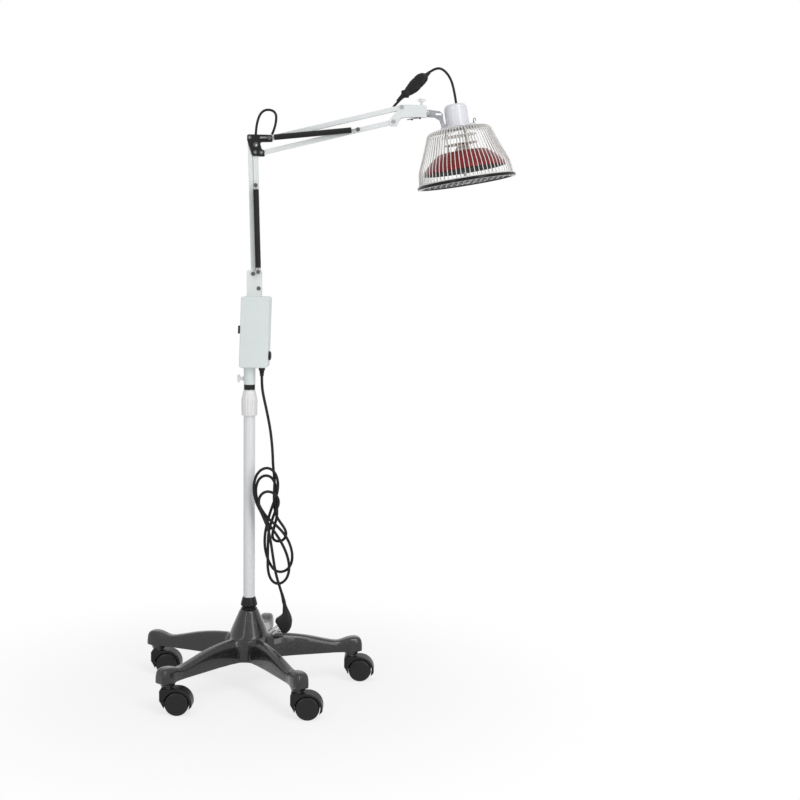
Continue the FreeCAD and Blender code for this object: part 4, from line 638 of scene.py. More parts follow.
HANK_ROUTE = flat_points((
    # in from above, a small lower turn and up into the second upper turn
    (54, -26, 495), (57, -20, 466), (56, -17, 446), (55, -15.5, 420), (57, -15, 397),
    (63, -15, 380), (72, -16, 368), (80, -18, 357), (83, -19, 345), (77, -20, 334),
    (66, -20, 330), (55, -21, 334), (52, -21.5, 345), (57, -21.5, 364), (63, -21.5, 387),
    (62, -22, 412), (61, -23.5, 440), (58, -26, 461), (51, -27.5, 472), (41, -28, 476),
    (31, -28.5, 474), (22, -28.5, 465), (17, -28.5, 447), (19, -28.5, 425), (29, -28.5, 402),
    (44, -28.5, 382),
    # the widest lower turn and the widest upper turn
    (60, -28.5, 369), (74, -28, 355), (85, -28, 340), (93, -28, 322), (97, -28, 303),
    (95, -27.5, 284), (86, -27, 270), (72, -26.5, 264), (58, -26.5, 268), (48, -26, 282),
    (40, -25.5, 302), (36, -24.5, 325), (37, -22, 352), (45, -21, 386), (55, -28, 415),
    (64, -32, 438), (66, -33, 460), (62, -34, 478), (53, -35, 490), (41, -35, 494),
    (27, -35, 488), (17, -35, 473), (13, -35, 451), (16, -35, 427), (26, -35, 403),
    (41, -35, 378),
    # the longest lower turn and the short upper turn
    (57, -35, 357), (70, -35, 338), (81, -35, 317), (88, -34.5, 297), (91, -34, 277),
    (88, -34, 258), (80, -34, 246), (69, -34, 240), (57, -34, 243), (48, -33.5, 255),
    (44, -33, 274), (44, -32, 296), (44, -30, 322), (44, -22.5, 350), (51, -20.5, 376),
    (60, -29.5, 400), (68, -35, 415), (66, -38, 430), (57, -39, 440), (44, -40, 444),
    (32, -41, 439), (25, -41.5, 427), (26, -41.5, 409), (35, -41.5, 388),
    # down in front to the plug
    (46, -41.5, 362), (52, -41, 330), (56, -41, 302), (61, -41, 271), (66, -41, 251),
    (72, -39, 231), (77, -33, 212), (79.4, -28, 196.7),
))

ELBOW_ROUTE = flat_points(((12, 0, 1179.4), (11.3, 0, 1214), (25, 0, 1250), (56, 0, 1247),
                           (54, 0, 1214), (46, 0, 1197.4)))
HEAD_ROUTE = flat_points(((432.8, 0, 1266.8), (428.4, 0, 1293), (420, 0, 1320), (404, 0, 1338),
                          (388, 0, 1339.5), (376.1, 0, 1330.9)))


def softened(values, passes):
    """Values joined by lines of 8 steps, then averaged a few times as (a + 2 b + c) / 4."""
    values = np.asarray(values, float).reshape(len(values), -1)
    count = len(values)
    place = np.linspace(0, count - 1, (count - 1) * 8 + 1)
    dense = np.column_stack([np.interp(place, np.arange(count), column)
                             for column in values.T])
    for _ in range(passes):
        dense[1:-1] = (dense[:-2] + 2 * dense[1:-1] + dense[2:]) / 4
    return dense


def lofted(left, right, thickness, passes, middle_y=0.0):
    """A body between two side lines in the arm's plane, all three given in millimetres.

    A section is C + H sgn(cos a) |cos a|^p + T sgn(sin a) |sin a|^p Y with p = 2 / 3.2, where
    C and H are the middle and half of the line between the sides and T the half thickness.
    """
    left, right, thick = (softened(mm(line), passes) for line in (left, right, thickness))
    angle = np.linspace(0, 2 * math.pi, 32, endpoint=False)
    wide, deep = (signed_power(wave, 2 / 3.2) for wave in (np.cos(angle), np.sin(angle)))
    centre, half = (left + right) / 2, (right - left) / 2
    across = centre[:, None] + half[:, None] * wide[None, :, None]
    depth = middle_y + thick * deep
    return skin(np.stack((across[..., 0], depth, across[..., 1]), axis=-1))


PLUG_Y = -0.028


def plug_shell():
    """The angled plug: neck, shoulders and a slanting front face."""
    left = ((76.5, 197.3), (76.3, 185.6), (76, 173.4), (69.1, 167.1), (61.4, 162.4),
            (60.2, 156), (65, 149), (70.7, 140), (74, 134.5))
    right = ((82.9, 197.3), (87.2, 185.8), (92.6, 174.8), (95.8, 166), (97.4, 157.1),
             (95.9, 146), (92, 137), (84.9, 130.7), (79.5, 129.7))
    thickness = (3.8, 5.2, 8.5, 11.5, 12.8, 12.9, 12.6, 12, 8)
    return lofted(left, right, thickness, 4, middle_y=PLUG_Y)


# where the blades leave the plug, their directions and their sizes
BLADE_ROOT = np.array((0.0695, PLUG_Y, 0.1440))
BLADE_OUT = np.array((-0.788, 0.0, -0.616))
BLADE_GAP = np.array((-0.436, -0.707, 0.557))
BLADE_PITCH, BLADE_REACH, BLADE_WIDTH, BLADE_THICK = mm((12.7, 23.5, 6.3, 1.6))


def blade_shell(root):
    """A flat prong with a rounded tip: root + u across the gap + v out + w along the gap."""
    half, tip = BLADE_WIDTH / 2, BLADE_WIDTH / 2.4
    outline = eased(((-half, 0), (half, 0), (half, BLADE_REACH), (-half, BLADE_REACH)),
                    (0, 0, tip, tip))
    shell = slab(outline, -BLADE_THICK / 2, BLADE_THICK / 2, ease=0.0003)
    across = np.cross(BLADE_GAP, BLADE_OUT)
    return moved(shell, lambda points: carried(points, root, across, BLADE_OUT, BLADE_GAP))


def relief_shell(line, reach, thin, thick, rib, rings):
    """A ribbed sleeve over the last stretch of a line, wider towards its end.

    Radius at share t of the stretch is thin + (thick - thin) t^1.5 + rib sin(2 pi rings t).
    """
    back = line[::-1]
    travelled = np.concatenate(((0,), np.cumsum(np.linalg.norm(np.diff(back, axis=0), axis=1))))
    share = np.linspace(0, 1, 12 * rings)
    path = np.column_stack([np.interp(reach * (1 - share), travelled, column)
                            for column in back.T])
    radius = thin + (thick - thin) * share ** 1.5 + rib * np.sin(2 * math.pi * rings * share)
    return tube(path, radius, segments=24)


def build_mains_cord(sizes):
    """The mains lead from the gland through its hank to the angled plug."""
    diameter = sizes.mains_diameter
    route = MAINS_ROUTE + HANK_ROUTE
    line = spline_line(route)
    plug = piece("mains_plug_body", plug_shell(), "black_plastic", "arm_base", ("mains_plug",))
    blades = together([blade_shell(BLADE_ROOT + side * BLADE_PITCH / 2 * BLADE_GAP)
                       for side in (-1, 1)])
    prongs = piece("mains_plug_blades", blades, "bright_steel", "arm_base")
    sleeve = relief_shell(line, reach=0.024, thin=0.0033, thick=0.0044, rib=0.00035, rings=6)
    relief = piece("mains_plug_relief", sleeve, "black_plastic", "arm_base")
    curve = spline_curve("mains_lead", route, diameter)
    curve.materials.append(material("cord"))
    lead = placed("mains_lead", curve)
    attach(lead, "arm_base")
    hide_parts("mains_cord", "mains_hank", "mains_tail")


def blended_lead(name, route, diameter, node, slot_name):
    """A thin lead as a mesh tube along its route, shown in place of a node."""
    line = spline_line(route)
    mesh = mesh_of(name, tube(line, diameter / 2, segments=20))
    lead = placed(name, shaded(mesh, slot_name, sharp=50))
    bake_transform(lead)
    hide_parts(node)
    return lead, line


def build_elbow_lead(sizes):
    """The lead that loops up from the elbow and drops behind the upper arm."""
    lead, line = blended_lead("elbow_lead", ELBOW_ROUTE, sizes.lead_diameter,
                              "elbow_cable", "cord")


def connector_shell():
    """Two black halves that meet at a groove, each ending in a stepped strain relief."""
    upper_side = ((306.6, 1271.6), (314.6, 1282), (316.8, 1284.6), (317.3, 1292.2),
                  (323.6, 1293.4), (326, 1298), (335.1, 1311.1), (341.5, 1317.7),
                  (342.6, 1317.6), (343.2, 1318.2), (343.3, 1319.5), (349.6, 1325.4),
                  (358.9, 1329.1), (366.3, 1328.2), (368, 1329), (374.4, 1333.4))
    lower_side = ((311.8, 1266.6), (322, 1276.2), (325.4, 1277.4), (333, 1277.4),
                  (334.4, 1282), (338.5, 1283.2), (350.9, 1290.3), (357.5, 1297.2),
                  (357.6, 1298.2), (358.2, 1298.8), (359.4, 1299.2), (366, 1306.2),
                  (371.8, 1313.5), (372.9, 1318.8), (372.6, 1321.6), (378, 1328))
    depth = (3.4, 4.8, 5, 7.4, 7.6, 6.6, 8.8, 9, 8.4, 8.4, 9, 9, 8.6, 6.6, 4.8, 3.4)
    return lofted(upper_side, lower_side, depth, 2)


def build_head_lead(sizes):
    """The lead from the cap, its inline connector and the stub that enters the bracket."""
    diameter = sizes.lead_diameter
    connector = piece("inline_connector", connector_shell(), "black_plastic", "wrist",
                      ("lead_connector",))
    stub_line = flowing(mm(((314, 0, 1272), (308, 0, 1266), (304, 0, 1262), (300, 0, 1256))))
    piece("connector_stub", tube(stub_line, diameter / 2), "cord", "wrist")
    lead, line = blended_lead("head_lead_tube", HEAD_ROUTE, diameter,
                              "head_lead", "cord")


# ---------------------------------------------------------------- base and casters

LEGS = 5
FIRST_LEG = math.radians(14.6)
LEG_FOOT = 0.067
NECK_REACH = 0.230
CASTING_VOXEL = 0.0018


def leg_shell():
    """One leg along +X: a rounded channel whose crown follows the leg's side profile.

    Outer section: y = w |cos a|^p, z = foot + h |sin a|^p for a from 0 to pi, with p near 1
    where the leg leaves the hub. The hollow is narrower and lower by the walls and ends
    before the caster's block.
    """
    crown = flowing(mm(((24, 53), (41, 51), (66, 50.5), (86, 49), (114, 45), (142, 39),
                        (172, 31), (194, 26), (206, 27), (218, 31), (230, 33), (241, 33),
                        (248, 31), (252, 26), (253, 14), (253, 2), (253, 0.2))), 6)
    reach, height = crown[:, :1], crown[:, 1:2]
    half = np.interp(reach, mm((24, 50, 70, 100, 200, 214, 226, 240, 248, 253)),
                     mm((21, 18.5, 16, 14, 13, 14.5, 16.5, 16.5, 15, 12)))
    power = np.interp(reach, (0.04, 0.13), (0.85, 0.45))
    angle = np.linspace(0, math.pi, 33)
    wide = signed_power(np.cos(angle), power)
    rise = np.abs(np.sin(angle)) ** power
    x = np.repeat(reach, len(angle), axis=1)
    outer = np.stack((x, half * wide, LEG_FOOT + height * rise), axis=-1)
    side_wall, crown_wall, hollow_end, run_out = mm((4, 6, 196, 6))
    hollow = np.clip((hollow_end - reach) / run_out, 0, 1)
    deep = np.maximum(height - crown_wall, 0) * hollow
    inner = np.stack((x, (half - side_wall) * wide, LEG_FOOT + deep * rise), axis=-1)
    return skin(np.concatenate((outer, inner[:, ::-1]), axis=1))


def hub_shell():
    """The hub: a hollow cone that swells towards every leg.

    The swelling is 18 mm (0.5 + 0.5 cos 5(a - a0))^1.3 s, where s is a smooth step from 0 at
    124 mm up to 1 at 104 mm and below. The bore has none.
    """
    profile = eased_mm(((12.55, 72), (12.55, 176), (18.2, 176), (20.2, 174.2), (27.6, 157),
                        (38.5, 132), (43.5, 116), (45.5, 98), (46, 68), (45, 67), (20, 67)),
                       (0, 0.5, 1.5, 2, 10, 10, 12, 8, 1, 1, 2), 5)
    outside = profile[:, :1] > 0.021

    def saddles(angle, height):
        """What every leg adds to the radius."""
        share = np.clip((0.124 - height) / 0.02, 0, 1)
        share = share * share * (3 - 2 * share)
        lobe = (0.5 + 0.5 * np.cos(LEGS * (angle - FIRST_LEG))) ** 1.3
        return 0.018 * share * lobe * outside

    return turned(profile, 240, close=True, ripple=saddles)


def turned_about_z(shell, angle):
    """A shell turned about the column's axis."""
    c, s = math.cos(angle), math.sin(angle)
    return moved(shell, lambda points: points @ np.array(((c, s, 0), (-s, c, 0), (0, 0, 1))))


def build_base():
    """The hammered five-star base: hub, legs and the necks that hold the caster stems."""
    shells = [hub_shell()]
    leg = leg_shell()
    neck = turned(eased_mm(((5.2, 59), (14, 59), (15, 60), (15, 69), (5.2, 69)), 0.4, 3), 48,
                  close=True)
    neck = moved(neck, lambda points: points + NECK_REACH * X_AXIS)
    for number in range(LEGS):
        turn = FIRST_LEG + 2 * math.pi * number / LEGS
        shells += [turned_about_z(leg, turn), turned_about_z(neck, turn)]
    casting = piece("star_base", together(shells), "cast_base", "stand", ("base_star",),
                    sharp=50)
    skin_over = casting.modifiers.new("one_casting", "REMESH")
    skin_over.mode = "VOXEL"
    skin_over.voxel_size = CASTING_VOXEL
    skin_over.use_smooth_shade = True
    fillets = casting.modifiers.new("cast_fillets", "SMOOTH")
    fillets.factor = 0.5
    fillets.iterations = 10


WHEEL_WIDTH = 0.015


def twin_wheels_shell(node):
    """Both wheels of a caster and their axle, mirrored about the middle of the node's box.

    The tread is slightly crowned and the outer side is a smooth shallow dome.
    """
    centre = middle(node)
    low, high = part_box(node)
    half = float(high[1] - low[1]) / 2
    width = WHEEL_WIDTH * 1000
    profile = eased_mm(((0, 0), (21, 0), (24.2, 0.4), (25, 2.2), (25, width - 4.5),
                        (24.2, width - 2.2), (20.5, width - 0.7), (11, width - 0.1),
                        (0, width)),
                       (0, 1, 1.2, 1.5, 1.8, 1.4, 3, 3, 0), 5, closed=False)
    left = along(turned(profile, 96), centre + Y_AXIS * (half - WHEEL_WIDTH), Y_AXIS)
    right = moved(left, lambda points: points * (1, -1, 1) + 2 * centre[1] * Y_AXIS)
    reach, radius = half - 0.002, 0.003
    axle = turned(((0, -reach), (radius, -reach), (radius, reach), (0, reach)), 32)
    return together((left, right, along(axle, centre, Y_AXIS)))


def build_casters():
    """Hoods, twin wheels, axles and stems of the five casters."""
    finish_node("caster_stems")
    for number in range(1, LEGS + 1):
        refined(f"caster_hood_{number}", MOULDED_EDGE)
        node = f"caster_wheels_{number}"
        piece(f"twin_wheels_{number}", twin_wheels_shell(node), "wheel", f"wheels_{number}",
              (node,))


# ---------------------------------------------------------------- column, mast and grip

MAST_WALL = 0.0015


def grip_shell(ribs):
    """The twist grip: r = profile + 0.6 mm cos(n a) over its straight part, for n ribs."""
    low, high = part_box("twist_collar")
    start, stop = float(low[2]), float(high[2])
    shoulder = start + 0.035
    profile = eased(((0.01265, start), (0.0169, start), (0.0169, shoulder), (0.0128, stop),
                     (0.01265, stop)), mm((0.2, 1.2, 1.5, 0.6, 0.2)), 6)

    def ribbed(angle, height):
        """Rounded ribs that fade out at both ends of the straight part."""
        fade = np.clip((height - start) / 0.003, 0, 1) * np.clip(
            (shoulder + 0.003 - height) / 0.004, 0, 1)
        return 0.0006 * fade * np.cos(ribs * angle)

    return turned(profile, 384, close=True, ripple=ribbed)


def build_column(sizes):
    """Foot collar, outer column, bush, sliding mast, its band and the ribbed twist grip."""
    collar = eased_mm(((12.7, 176.3), (17.6, 176.3), (17.6, 178.2), (14, 179.2), (14, 180.8),
                       (17.9, 184.6), (17.9, 187), (16.2, 195), (13.7, 203), (12.7, 203)),
                      (0.3, 0.8, 0.8, 0.5, 0.5, 0.8, 1.2, 4, 0.5, 0.2), 5)
    piece("foot_collar", turned(collar, close=True), "black_plastic", "stand",
          ("mast_collar",))
    outer = eased_mm(((12.5, 72), (12.5, 640), (11.32, 640), (11.32, 72)),
                     (0.2, 0.5, 0.3, 0.2), 4)
    piece("outer_column", turned(outer, 128, close=True), "white_paint", "stand",
          ("lower_column",))
    finish_node("column_bush")
    low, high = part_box("inner_tube")
    radius = (high[0] - low[0]) / 2
    bore = radius - MAST_WALL
    mast = eased(((radius, low[2]), (radius, high[2]), (bore, high[2]), (bore, low[2])),
                 mm((0.2, 0.4, 0.3, 0.2)), 4)
    piece("sliding_mast", turned(mast, 128, close=True), "white_paint", "mast",
          ("inner_tube",))
    band = eased_mm(((11.22, 657.5), (11.95, 657.5), (11.95, 668.5), (11.22, 668.5)), 0.3, 3)
    piece("mast_band", turned(band, close=True), "black_plastic", "mast")
    piece("ribbed_grip", grip_shell(sizes.grip_ribs), "white_plastic", "grip",
          ("twist_collar",))


# ---------------------------------------------------------------- control box

# how far the box's left wall leans outwards from its foot to its top
BOX_LEAN = 0.0045


def rocker_bezel_shell():
    """A rounded frame on the box's left wall, around the rocker."""
    frames = []
    for width, height, proud in ((15.4, 17.2, 0), (15.4, 17.2, 5.2), (15, 16.8, 6),
                                 (14.2, 16, 6.5), (13.2, 15, 6.5), (12.8, 14.6, 0)):
        corners = np.array(((-1, -1), (1, -1), (1, 1), (-1, 1))) * (width / 2, height / 2)
        outline = eased_mm(corners, 2, 6)
        frames.append(np.column_stack((outline, np.full(len(outline), proud / 1000))))
    shell = grid(np.stack(frames), close_rows=True, close_columns=True)
    rocker = middle("rocker_switch")
    low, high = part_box("control_box")
    lean = math.atan2(BOX_LEAN, high[2] - low[2])
    wall = low[0] + (rocker[2] - low[2]) * math.tan(lean)
    up = np.array((math.sin(lean), 0, math.cos(lean)))
    out = np.array((-math.cos(lean), 0, math.sin(lean)))
    place = (wall, rocker[1], rocker[2])
    return moved(shell, lambda points: carried(points, place, Y_AXIS, up, out))


def gland_shell():
    """The tapered gland: r = 4 mm + 1.3 mm t + 0.4 mm sin(8 pi t) up to its flange at t = 1."""
    low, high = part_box("cord_gland")
    bottom, top = float(low[2]), float(high[2])
    flange = top - 0.0068
    height = np.linspace(bottom, flange, 60)
    share = (height - bottom) / (flange - bottom)
    radius = 0.0040 + 0.0013 * share + 0.0004 * np.sin(8 * math.pi * share)
    profile = np.vstack(((0, bottom), np.column_stack((radius, height)), (0.0066, flange),
                         (0.007, flange + 0.0004), (0.007, top), (0, top)))
    return along(turned(profile, 48), (middle("cord_gland")[0], 0, 0), Z_AXIS)


def build_box(sizes):
    """Socket and its screw, leaning box with rear cover, rocker, gland and timer knob."""
    for node in ("post_socket", "control_box", "box_rear_cover", "arm_bracket"):
        refined(node, sizes.edge_round * 1.6)
    refined("socket_thumb_screw", MOULDED_EDGE)
    refined("shoulder_pins", surface="rivet")
    refined("rocker_switch", MOULDED_EDGE)
    piece("rocker_bezel", rocker_bezel_shell(), "black_plastic", "arm_base")
    piece("ribbed_gland", gland_shell(), "black_plastic", "arm_base", ("cord_gland",))
    refined("timer_knob", sizes.edge_round)


# ---------------------------------------------------------------- arms

# (x, z), radius and height of the bright pin ends on the elbow's front plate, in millimetres
ELBOW_TIPS = (((0.04, 1190.29), 1.4, 0.9), ((12.04, 1159.59), 1.1, 0.8),
              ((25.04, 1159.29), 1.3, 0.9), ((14.2, 1173.8), 2.6, 2.0))
ELBOW_FRONT = -8.6

# each spring post's screw: its name, its body and the post's (x, z), in millimetres
POST_SCREWS = (("lower_post_screw", "inner_bar", (13.96, 1090.82)),
               ("upper_post_screw", "bottom_bar", (227.81, 1209.09)))
POST_END = -16.2


def facing_front(profile, segments, place, front):
    """A profile turned about a line across the arm, its heights measured towards -Y."""
    return along(turned(profile, segments), mm((place[0], front, place[1])), -Y_AXIS)


def pin_tip(place, radius, rise):
    """A riveted pin end: a low dome of the given radius and height."""
    dome = eased_mm(((0, -0.4), (radius, -0.4), (radius, rise * 0.4), (radius * 0.6, rise),
                     (0, rise)), radius * 0.3, 5, closed=False)
    return facing_front(dome, 32, place, ELBOW_FRONT)


def post_screw(place):
    """The pan-head screw that keeps a spring's loop on its post, with a hollow in its head."""
    head = eased_mm(((4.02, 0), (4.5, 0), (4.4, 1.9), (3.4, 2.8), (1.9, 2.8), (1.7, 1.9),
                     (0, 1.9), (0, 1.7), (4.02, 1.7)), 0.3, 3)
    return facing_front(head, 40, place, POST_END)


def adjuster_shell():
    """The threaded stub behind the upper spring: r = 2.5 mm + 0.5 mm sin(2 pi x / 2.9 mm)."""
    run = np.linspace(0, 0.0145, 60)
    radius = 0.0025 + 0.0005 * np.sin(2 * math.pi * run / 0.0029)
    path = mm((22.2, -9.8, 1189.6)) + run[:, None] * (1, 0, 0.02)
    return tube(path, radius, segments=20)


def leaf_shell():
    """The strip under the head bracket and the two feet below it."""
    strip = slab(eased_mm(((330, 1231.6), (368, 1238), (368, 1239.2), (330, 1232.8)), 0.3, 3),
                 -0.005, 0.005)
    foot = turned(eased_mm(((0, 0), (2.6, 0), (2.2, 2), (0, 2.6)), 0.8, 5, closed=False), 24)
    feet = [along(foot, mm(place), (0.16, 0, -1)) for place in ((340, 0, 1233.4),
                                                                (357, 0, 1236.2))]
    # the strip is cut in the arm's plane, so its thickness becomes y
    return together([moved(strip, lambda points: points[:, [0, 2, 1]]), *feet])


def build_arms(sizes):
    """Channel bars, elbow plates, their pins and the head bracket."""
    fine = sizes.edge_round * 0.6
    for node in ("lower_arm_outer_bar", "lower_arm_inner_bar", "upper_arm_top_bar",
                 "upper_arm_bottom_bar", "elbow_plates", "head_bracket", "head_bracket_pins",
                 "wrist_bearing"):
        refined(node, fine)
    refined("elbow_pins", fine, "rivet")
    piece("elbow_pin_tips", together([pin_tip(*tip) for tip in ELBOW_TIPS]), "tip", "elbow")
    piece("spring_adjuster", adjuster_shell(), "spring_steel", "elbow")
    for name, body, place in POST_SCREWS:
        piece(name, post_screw(place), "rivet", body)
    piece("bracket_leaf", leaf_shell(), "rivet", "head_bracket")


def build_springs():
    """Balancing springs and their sleeves."""
    for spring in ("lower_spring", "upper_spring"):
        finish_node(spring)
        refined(f"{spring}_sleeve", THIN_EDGE)


def build_wrist():
    """Wing screw, swivel shank with its nut, slotted tilt strap and tilt bolt."""
    refined("wrist_wing_screw", MOULDED_EDGE)
    refined("swivel_shank")
    refined("tilt_strap", 0.0005)
    refined("tilt_bolt")


# ---------------------------------------------------------------- head

# the wire of the dark bent clip at the crown's right, in millimetres
CROWN_HOOK = ((470, -3, 1224), (469.2, -3, 1231), (469.4, -3, 1235.8), (471.7, -3, 1238.2),
              (473.9, -3, 1235.8), (474.4, -3, 1232.2))


def turned_in_head(name, profile, segments, surface, node):
    """A piece of the head turned about its axis, shown in place of a node."""
    piece(name, moved(turned(profile, segments), in_head), surface, "head", (node,))


def build_cap():
    """Enamelled cap, the crown plate that it stands on and the clip beside it."""
    cap = eased_mm(((0, 120), (24.3, 120), (24.8, 121), (24.6, 166), (0, 166)),
                   (0, 0.6, 0.6, 13, 0), 14, closed=False)
    turned_in_head("head_cap_shell", cap, 128, "cap_enamel", "head_cap")
    refined("crown_plate", 0.0005)
    piece("crown_hook", tube(flowing(mm(CROWN_HOOK), 6), 0.0008, segments=12), "rivet", "head")


def build_cage(sizes):
    """Wires from the crown plate over the shoulder to the rim, and a ring at either end.

    Every wire is one tube turned about the head's axis by 2 pi k / n.
    """
    path = eased_mm(((36, 115.6), (52, 114.6), (62, 112.8), (67.6, 108), (69.4, 101.5),
                     (73.5, 91), (82.5, 68), (96, 37), (98.4, 22), (100, 7.5)),
                    (0, 6, 6, 5, 6, 8, 10, 7, 6, 0), 5, closed=False)
    path = np.column_stack((path[:, 0], np.zeros(len(path)), path[:, 1]))
    wire = tube(path, sizes.cage_wire / 2, segments=8)
    count = sizes.cage_wires
    shells = [turned_about_z(wire, 2 * math.pi * number / count) for number in range(count)]
    turn = np.linspace(0, 2 * math.pi, 160, endpoint=False)
    for radius, height in ((0.036, 0.1155), (0.100, 0.0075)):
        ring = np.column_stack((radius * np.cos(turn), radius * np.sin(turn),
                                np.full(len(turn), height)))
        shells.append(tube(ring, 0.0015, side=Z_AXIS, segments=12, closed=True))
    piece("cage_of_wires", moved(together(shells), in_head), "cage_wire", "head",
          ("wire_cage",), sharp=60)


def build_heater():
    """Reflector dish, mineral plate, heat shields, rods and insulator inside the cage."""
    outer = eased_mm(((0, 66), (30, 66), (50.5, 66), (62, 58.5), (73, 48.5), (82, 38.5),
                      (86.8, 31.6), (88, 29.2), (88, 26.8)),
                     (0, 5, 3, 8, 8, 6, 3, 1.2, 0), 7, closed=False)
    sheet = 0.0011
    inner = outer[::-1] - np.column_stack((np.where(outer[::-1, 0] > 0, sheet, 0),
                                           np.full(len(outer), sheet)))
    inner[0, 1] = outer[-1, 1]
    turned_in_head("red_dish", np.concatenate((outer, inner)), 160, "red_enamel",
                   "reflector_dish")
    plate = eased_mm(((0, 25.7), (83, 25.7), (83, 29.7), (0, 29.7)), (0, 2, 0.6, 0), 6,
                     closed=False)
    turned_in_head("mineral_disc", plate, 160, "mineral", "mineral_plate")
    refined("heat_shields", THIN_EDGE)
    insulator = eased_mm(((0, 66), (15, 66), (15, 68.5), (12.6, 74), (10.4, 76), (9.2, 78),
                          (9.6, 80), (9, 82), (0, 82)), 0.9, 4, closed=False)
    turned_in_head("glazed_insulator", insulator, 64, "ceramic", "ceramic_insulator")


def build_face():
    """Hexagonal grille, its centre screw and the front rim."""
    finish_node("face_grille", "grille")
    refined("rim_ring")
    refined("grille_screw", THIN_EDGE)


# ---------------------------------------------------------------- camera, floor and light

# place in metres, angle looked down and roll in radians, and the lens in millimetres
CAMERA_PLACE = (0.32392, -2.711, 0.92362)
CAMERA_DOWN, CAMERA_ROLL = 0.1044, 0.0146
CAMERA_LENS = 57.013

# half the floor's side, and from where to where about the column it turns into the backdrop
FLOOR_REACH = 12
FADE_START, FADE_END = 0.2, 0.9

# what the softboxes face, how far away they stand and how high, in degrees
SOFTBOX_AIM = Vector((0.2, 0, 0.75))
SOFTBOX_DISTANCE, SOFTBOX_HEIGHT = 3.2, 21

WHITE = (1, 1, 1, 1)


def facing(place, right, up, back):
    """The matrix of something at a place, whose local axes are the three given directions."""
    turn = Matrix((right, up, back)).transposed().to_4x4()
    return Matrix.Translation(place) @ turn


def build_camera():
    """A camera in front of the lamp, a little above its middle and looking down."""
    data = bpy.data.cameras.new("camera")
    data.lens = CAMERA_LENS
    data.sensor_width = 36
    data.clip_start = 0.05
    camera = placed("camera", data)
    back = Vector((0, -math.cos(CAMERA_DOWN), math.sin(CAMERA_DOWN)))
    level, level_up = Vector(X_AXIS), Vector((0, math.sin(CAMERA_DOWN), math.cos(CAMERA_DOWN)))
    right = level * math.cos(CAMERA_ROLL) + level_up * math.sin(CAMERA_ROLL)
    up = level_up * math.cos(CAMERA_ROLL) - level * math.sin(CAMERA_ROLL)
    camera.matrix_world = facing(CAMERA_PLACE, right, up, back)
    bpy.context.scene.camera = camera


def seen_directly(tree):
    """A node that gives 1 for what a camera, mirror or glass shows, 0 for light on things."""
    path = add_node(tree, "ShaderNodeLightPath")
    seen = add_node(tree, "ShaderNodeMath", operation="ADD")
    clear = add_node(tree, "ShaderNodeMath", operation="ADD", use_clamp=True)
    join(tree, (path, "Is Camera Ray", seen, 0), (path, "Is Glossy Ray", seen, 1),
         (seen, 0, clear, 0), (path, "Is Transmission Ray", clear, 1))
    return clear


def build_floor():
    """A large pale floor that holds the lamp's shadow and fades into the backdrop's white."""
    side = np.linspace(-FLOOR_REACH, FLOOR_REACH, 2 * FLOOR_REACH + 1)
    x, y = np.meshgrid(side, side, indexing="ij")
    points, faces = grid(np.stack((x, y, np.zeros_like(x)), axis=-1))
    mesh = mesh_of("floor", (points, [faces[0][:, ::-1]]))
    paint = finish("floor_paint", (0.96, 0.96, 0.96), 0.9, spread=0.004, bump=0.0, specular=0.0)
    tree = paint.node_tree
    reach = add_node(tree, "ShaderNodeVectorMath", operation="LENGTH")
    far = add_node(tree, "ShaderNodeMapRange", interpolation_type="SMOOTHERSTEP")
    fill(far, {"From Min": FADE_START, "From Max": FADE_END, "To Min": 0.74})
    white = add_node(tree, "ShaderNodeEmission", Color=WHITE)
    shown = add_node(tree, "ShaderNodeMath", operation="MULTIPLY")
    fade = add_node(tree, "ShaderNodeMixShader")
    join(tree, (node_of(tree, "TEX_COORD"), "Object", reach, 0), (reach, "Value", far, "Value"),
         (far, "Result", shown, 0), (seen_directly(tree), 0, shown, 1), (shown, 0, fade, 0),
         (tree.nodes["Principled BSDF"], "BSDF", fade, 1), (white, "Emission", fade, 2),
         (fade, 0, tree.nodes["Material Output"], "Surface"))
    mesh.materials.append(paint)
    floor = placed("floor", mesh)


def build_light(strength):
    """Soft light from all round and above, two softboxes, and white where the backdrop shows."""
    world = bpy.data.worlds.new("studio")
    world.use_nodes = True
    tree = world.node_tree
    glow = tree.nodes["Background"]
    fill(glow, {"Color": WHITE, "Strength": 0.42 * strength})
    backdrop = add_node(tree, "ShaderNodeBackground", Color=WHITE)
    choice = add_node(tree, "ShaderNodeMixShader")
    join(tree, (seen_directly(tree), 0, choice, 0), (glow, 0, choice, 1),
         (backdrop, 0, choice, 2), (choice, 0, tree.nodes["World Output"], "Surface"))
    bpy.context.scene.world = world
    sun_data = bpy.data.lights.new("soft_sun", "SUN")
    sun_data.energy = 0.7 * strength
    sun_data.angle = math.radians(30)
    sun = placed("soft_sun", sun_data)
    sun.rotation_euler = [math.radians(angle) for angle in (34, 14, 10)]
    add_softbox("right_softbox", 36, (0.9, 3.4), 33 * strength)
    add_softbox("left_softbox", -30, (0.5, 3.2), 12 * strength)


def add_softbox(name, azimuth, size, power):
    """A tall soft light, turned about the lamp from its front by an angle in degrees."""
    data = bpy.data.lights.new(name, "AREA")
    data.shape = "RECTANGLE"
    data.size, data.size_y = size
    data.energy = power
    around, up = math.radians(azimuth), math.radians(SOFTBOX_HEIGHT)
    away = Vector((math.sin(around) * math.cos(up), -math.cos(around) * math.cos(up),
                   math.sin(up)))
    right = Vector(Z_AXIS).cross(away).normalized()
    box = placed(name, data)
    box.matrix_world = facing(SOFTBOX_AIM + away * SOFTBOX_DISTANCE, right, away.cross(right),
                              away)
    box.visible_camera = False


# ---------------------------------------------------------------- operators and panel

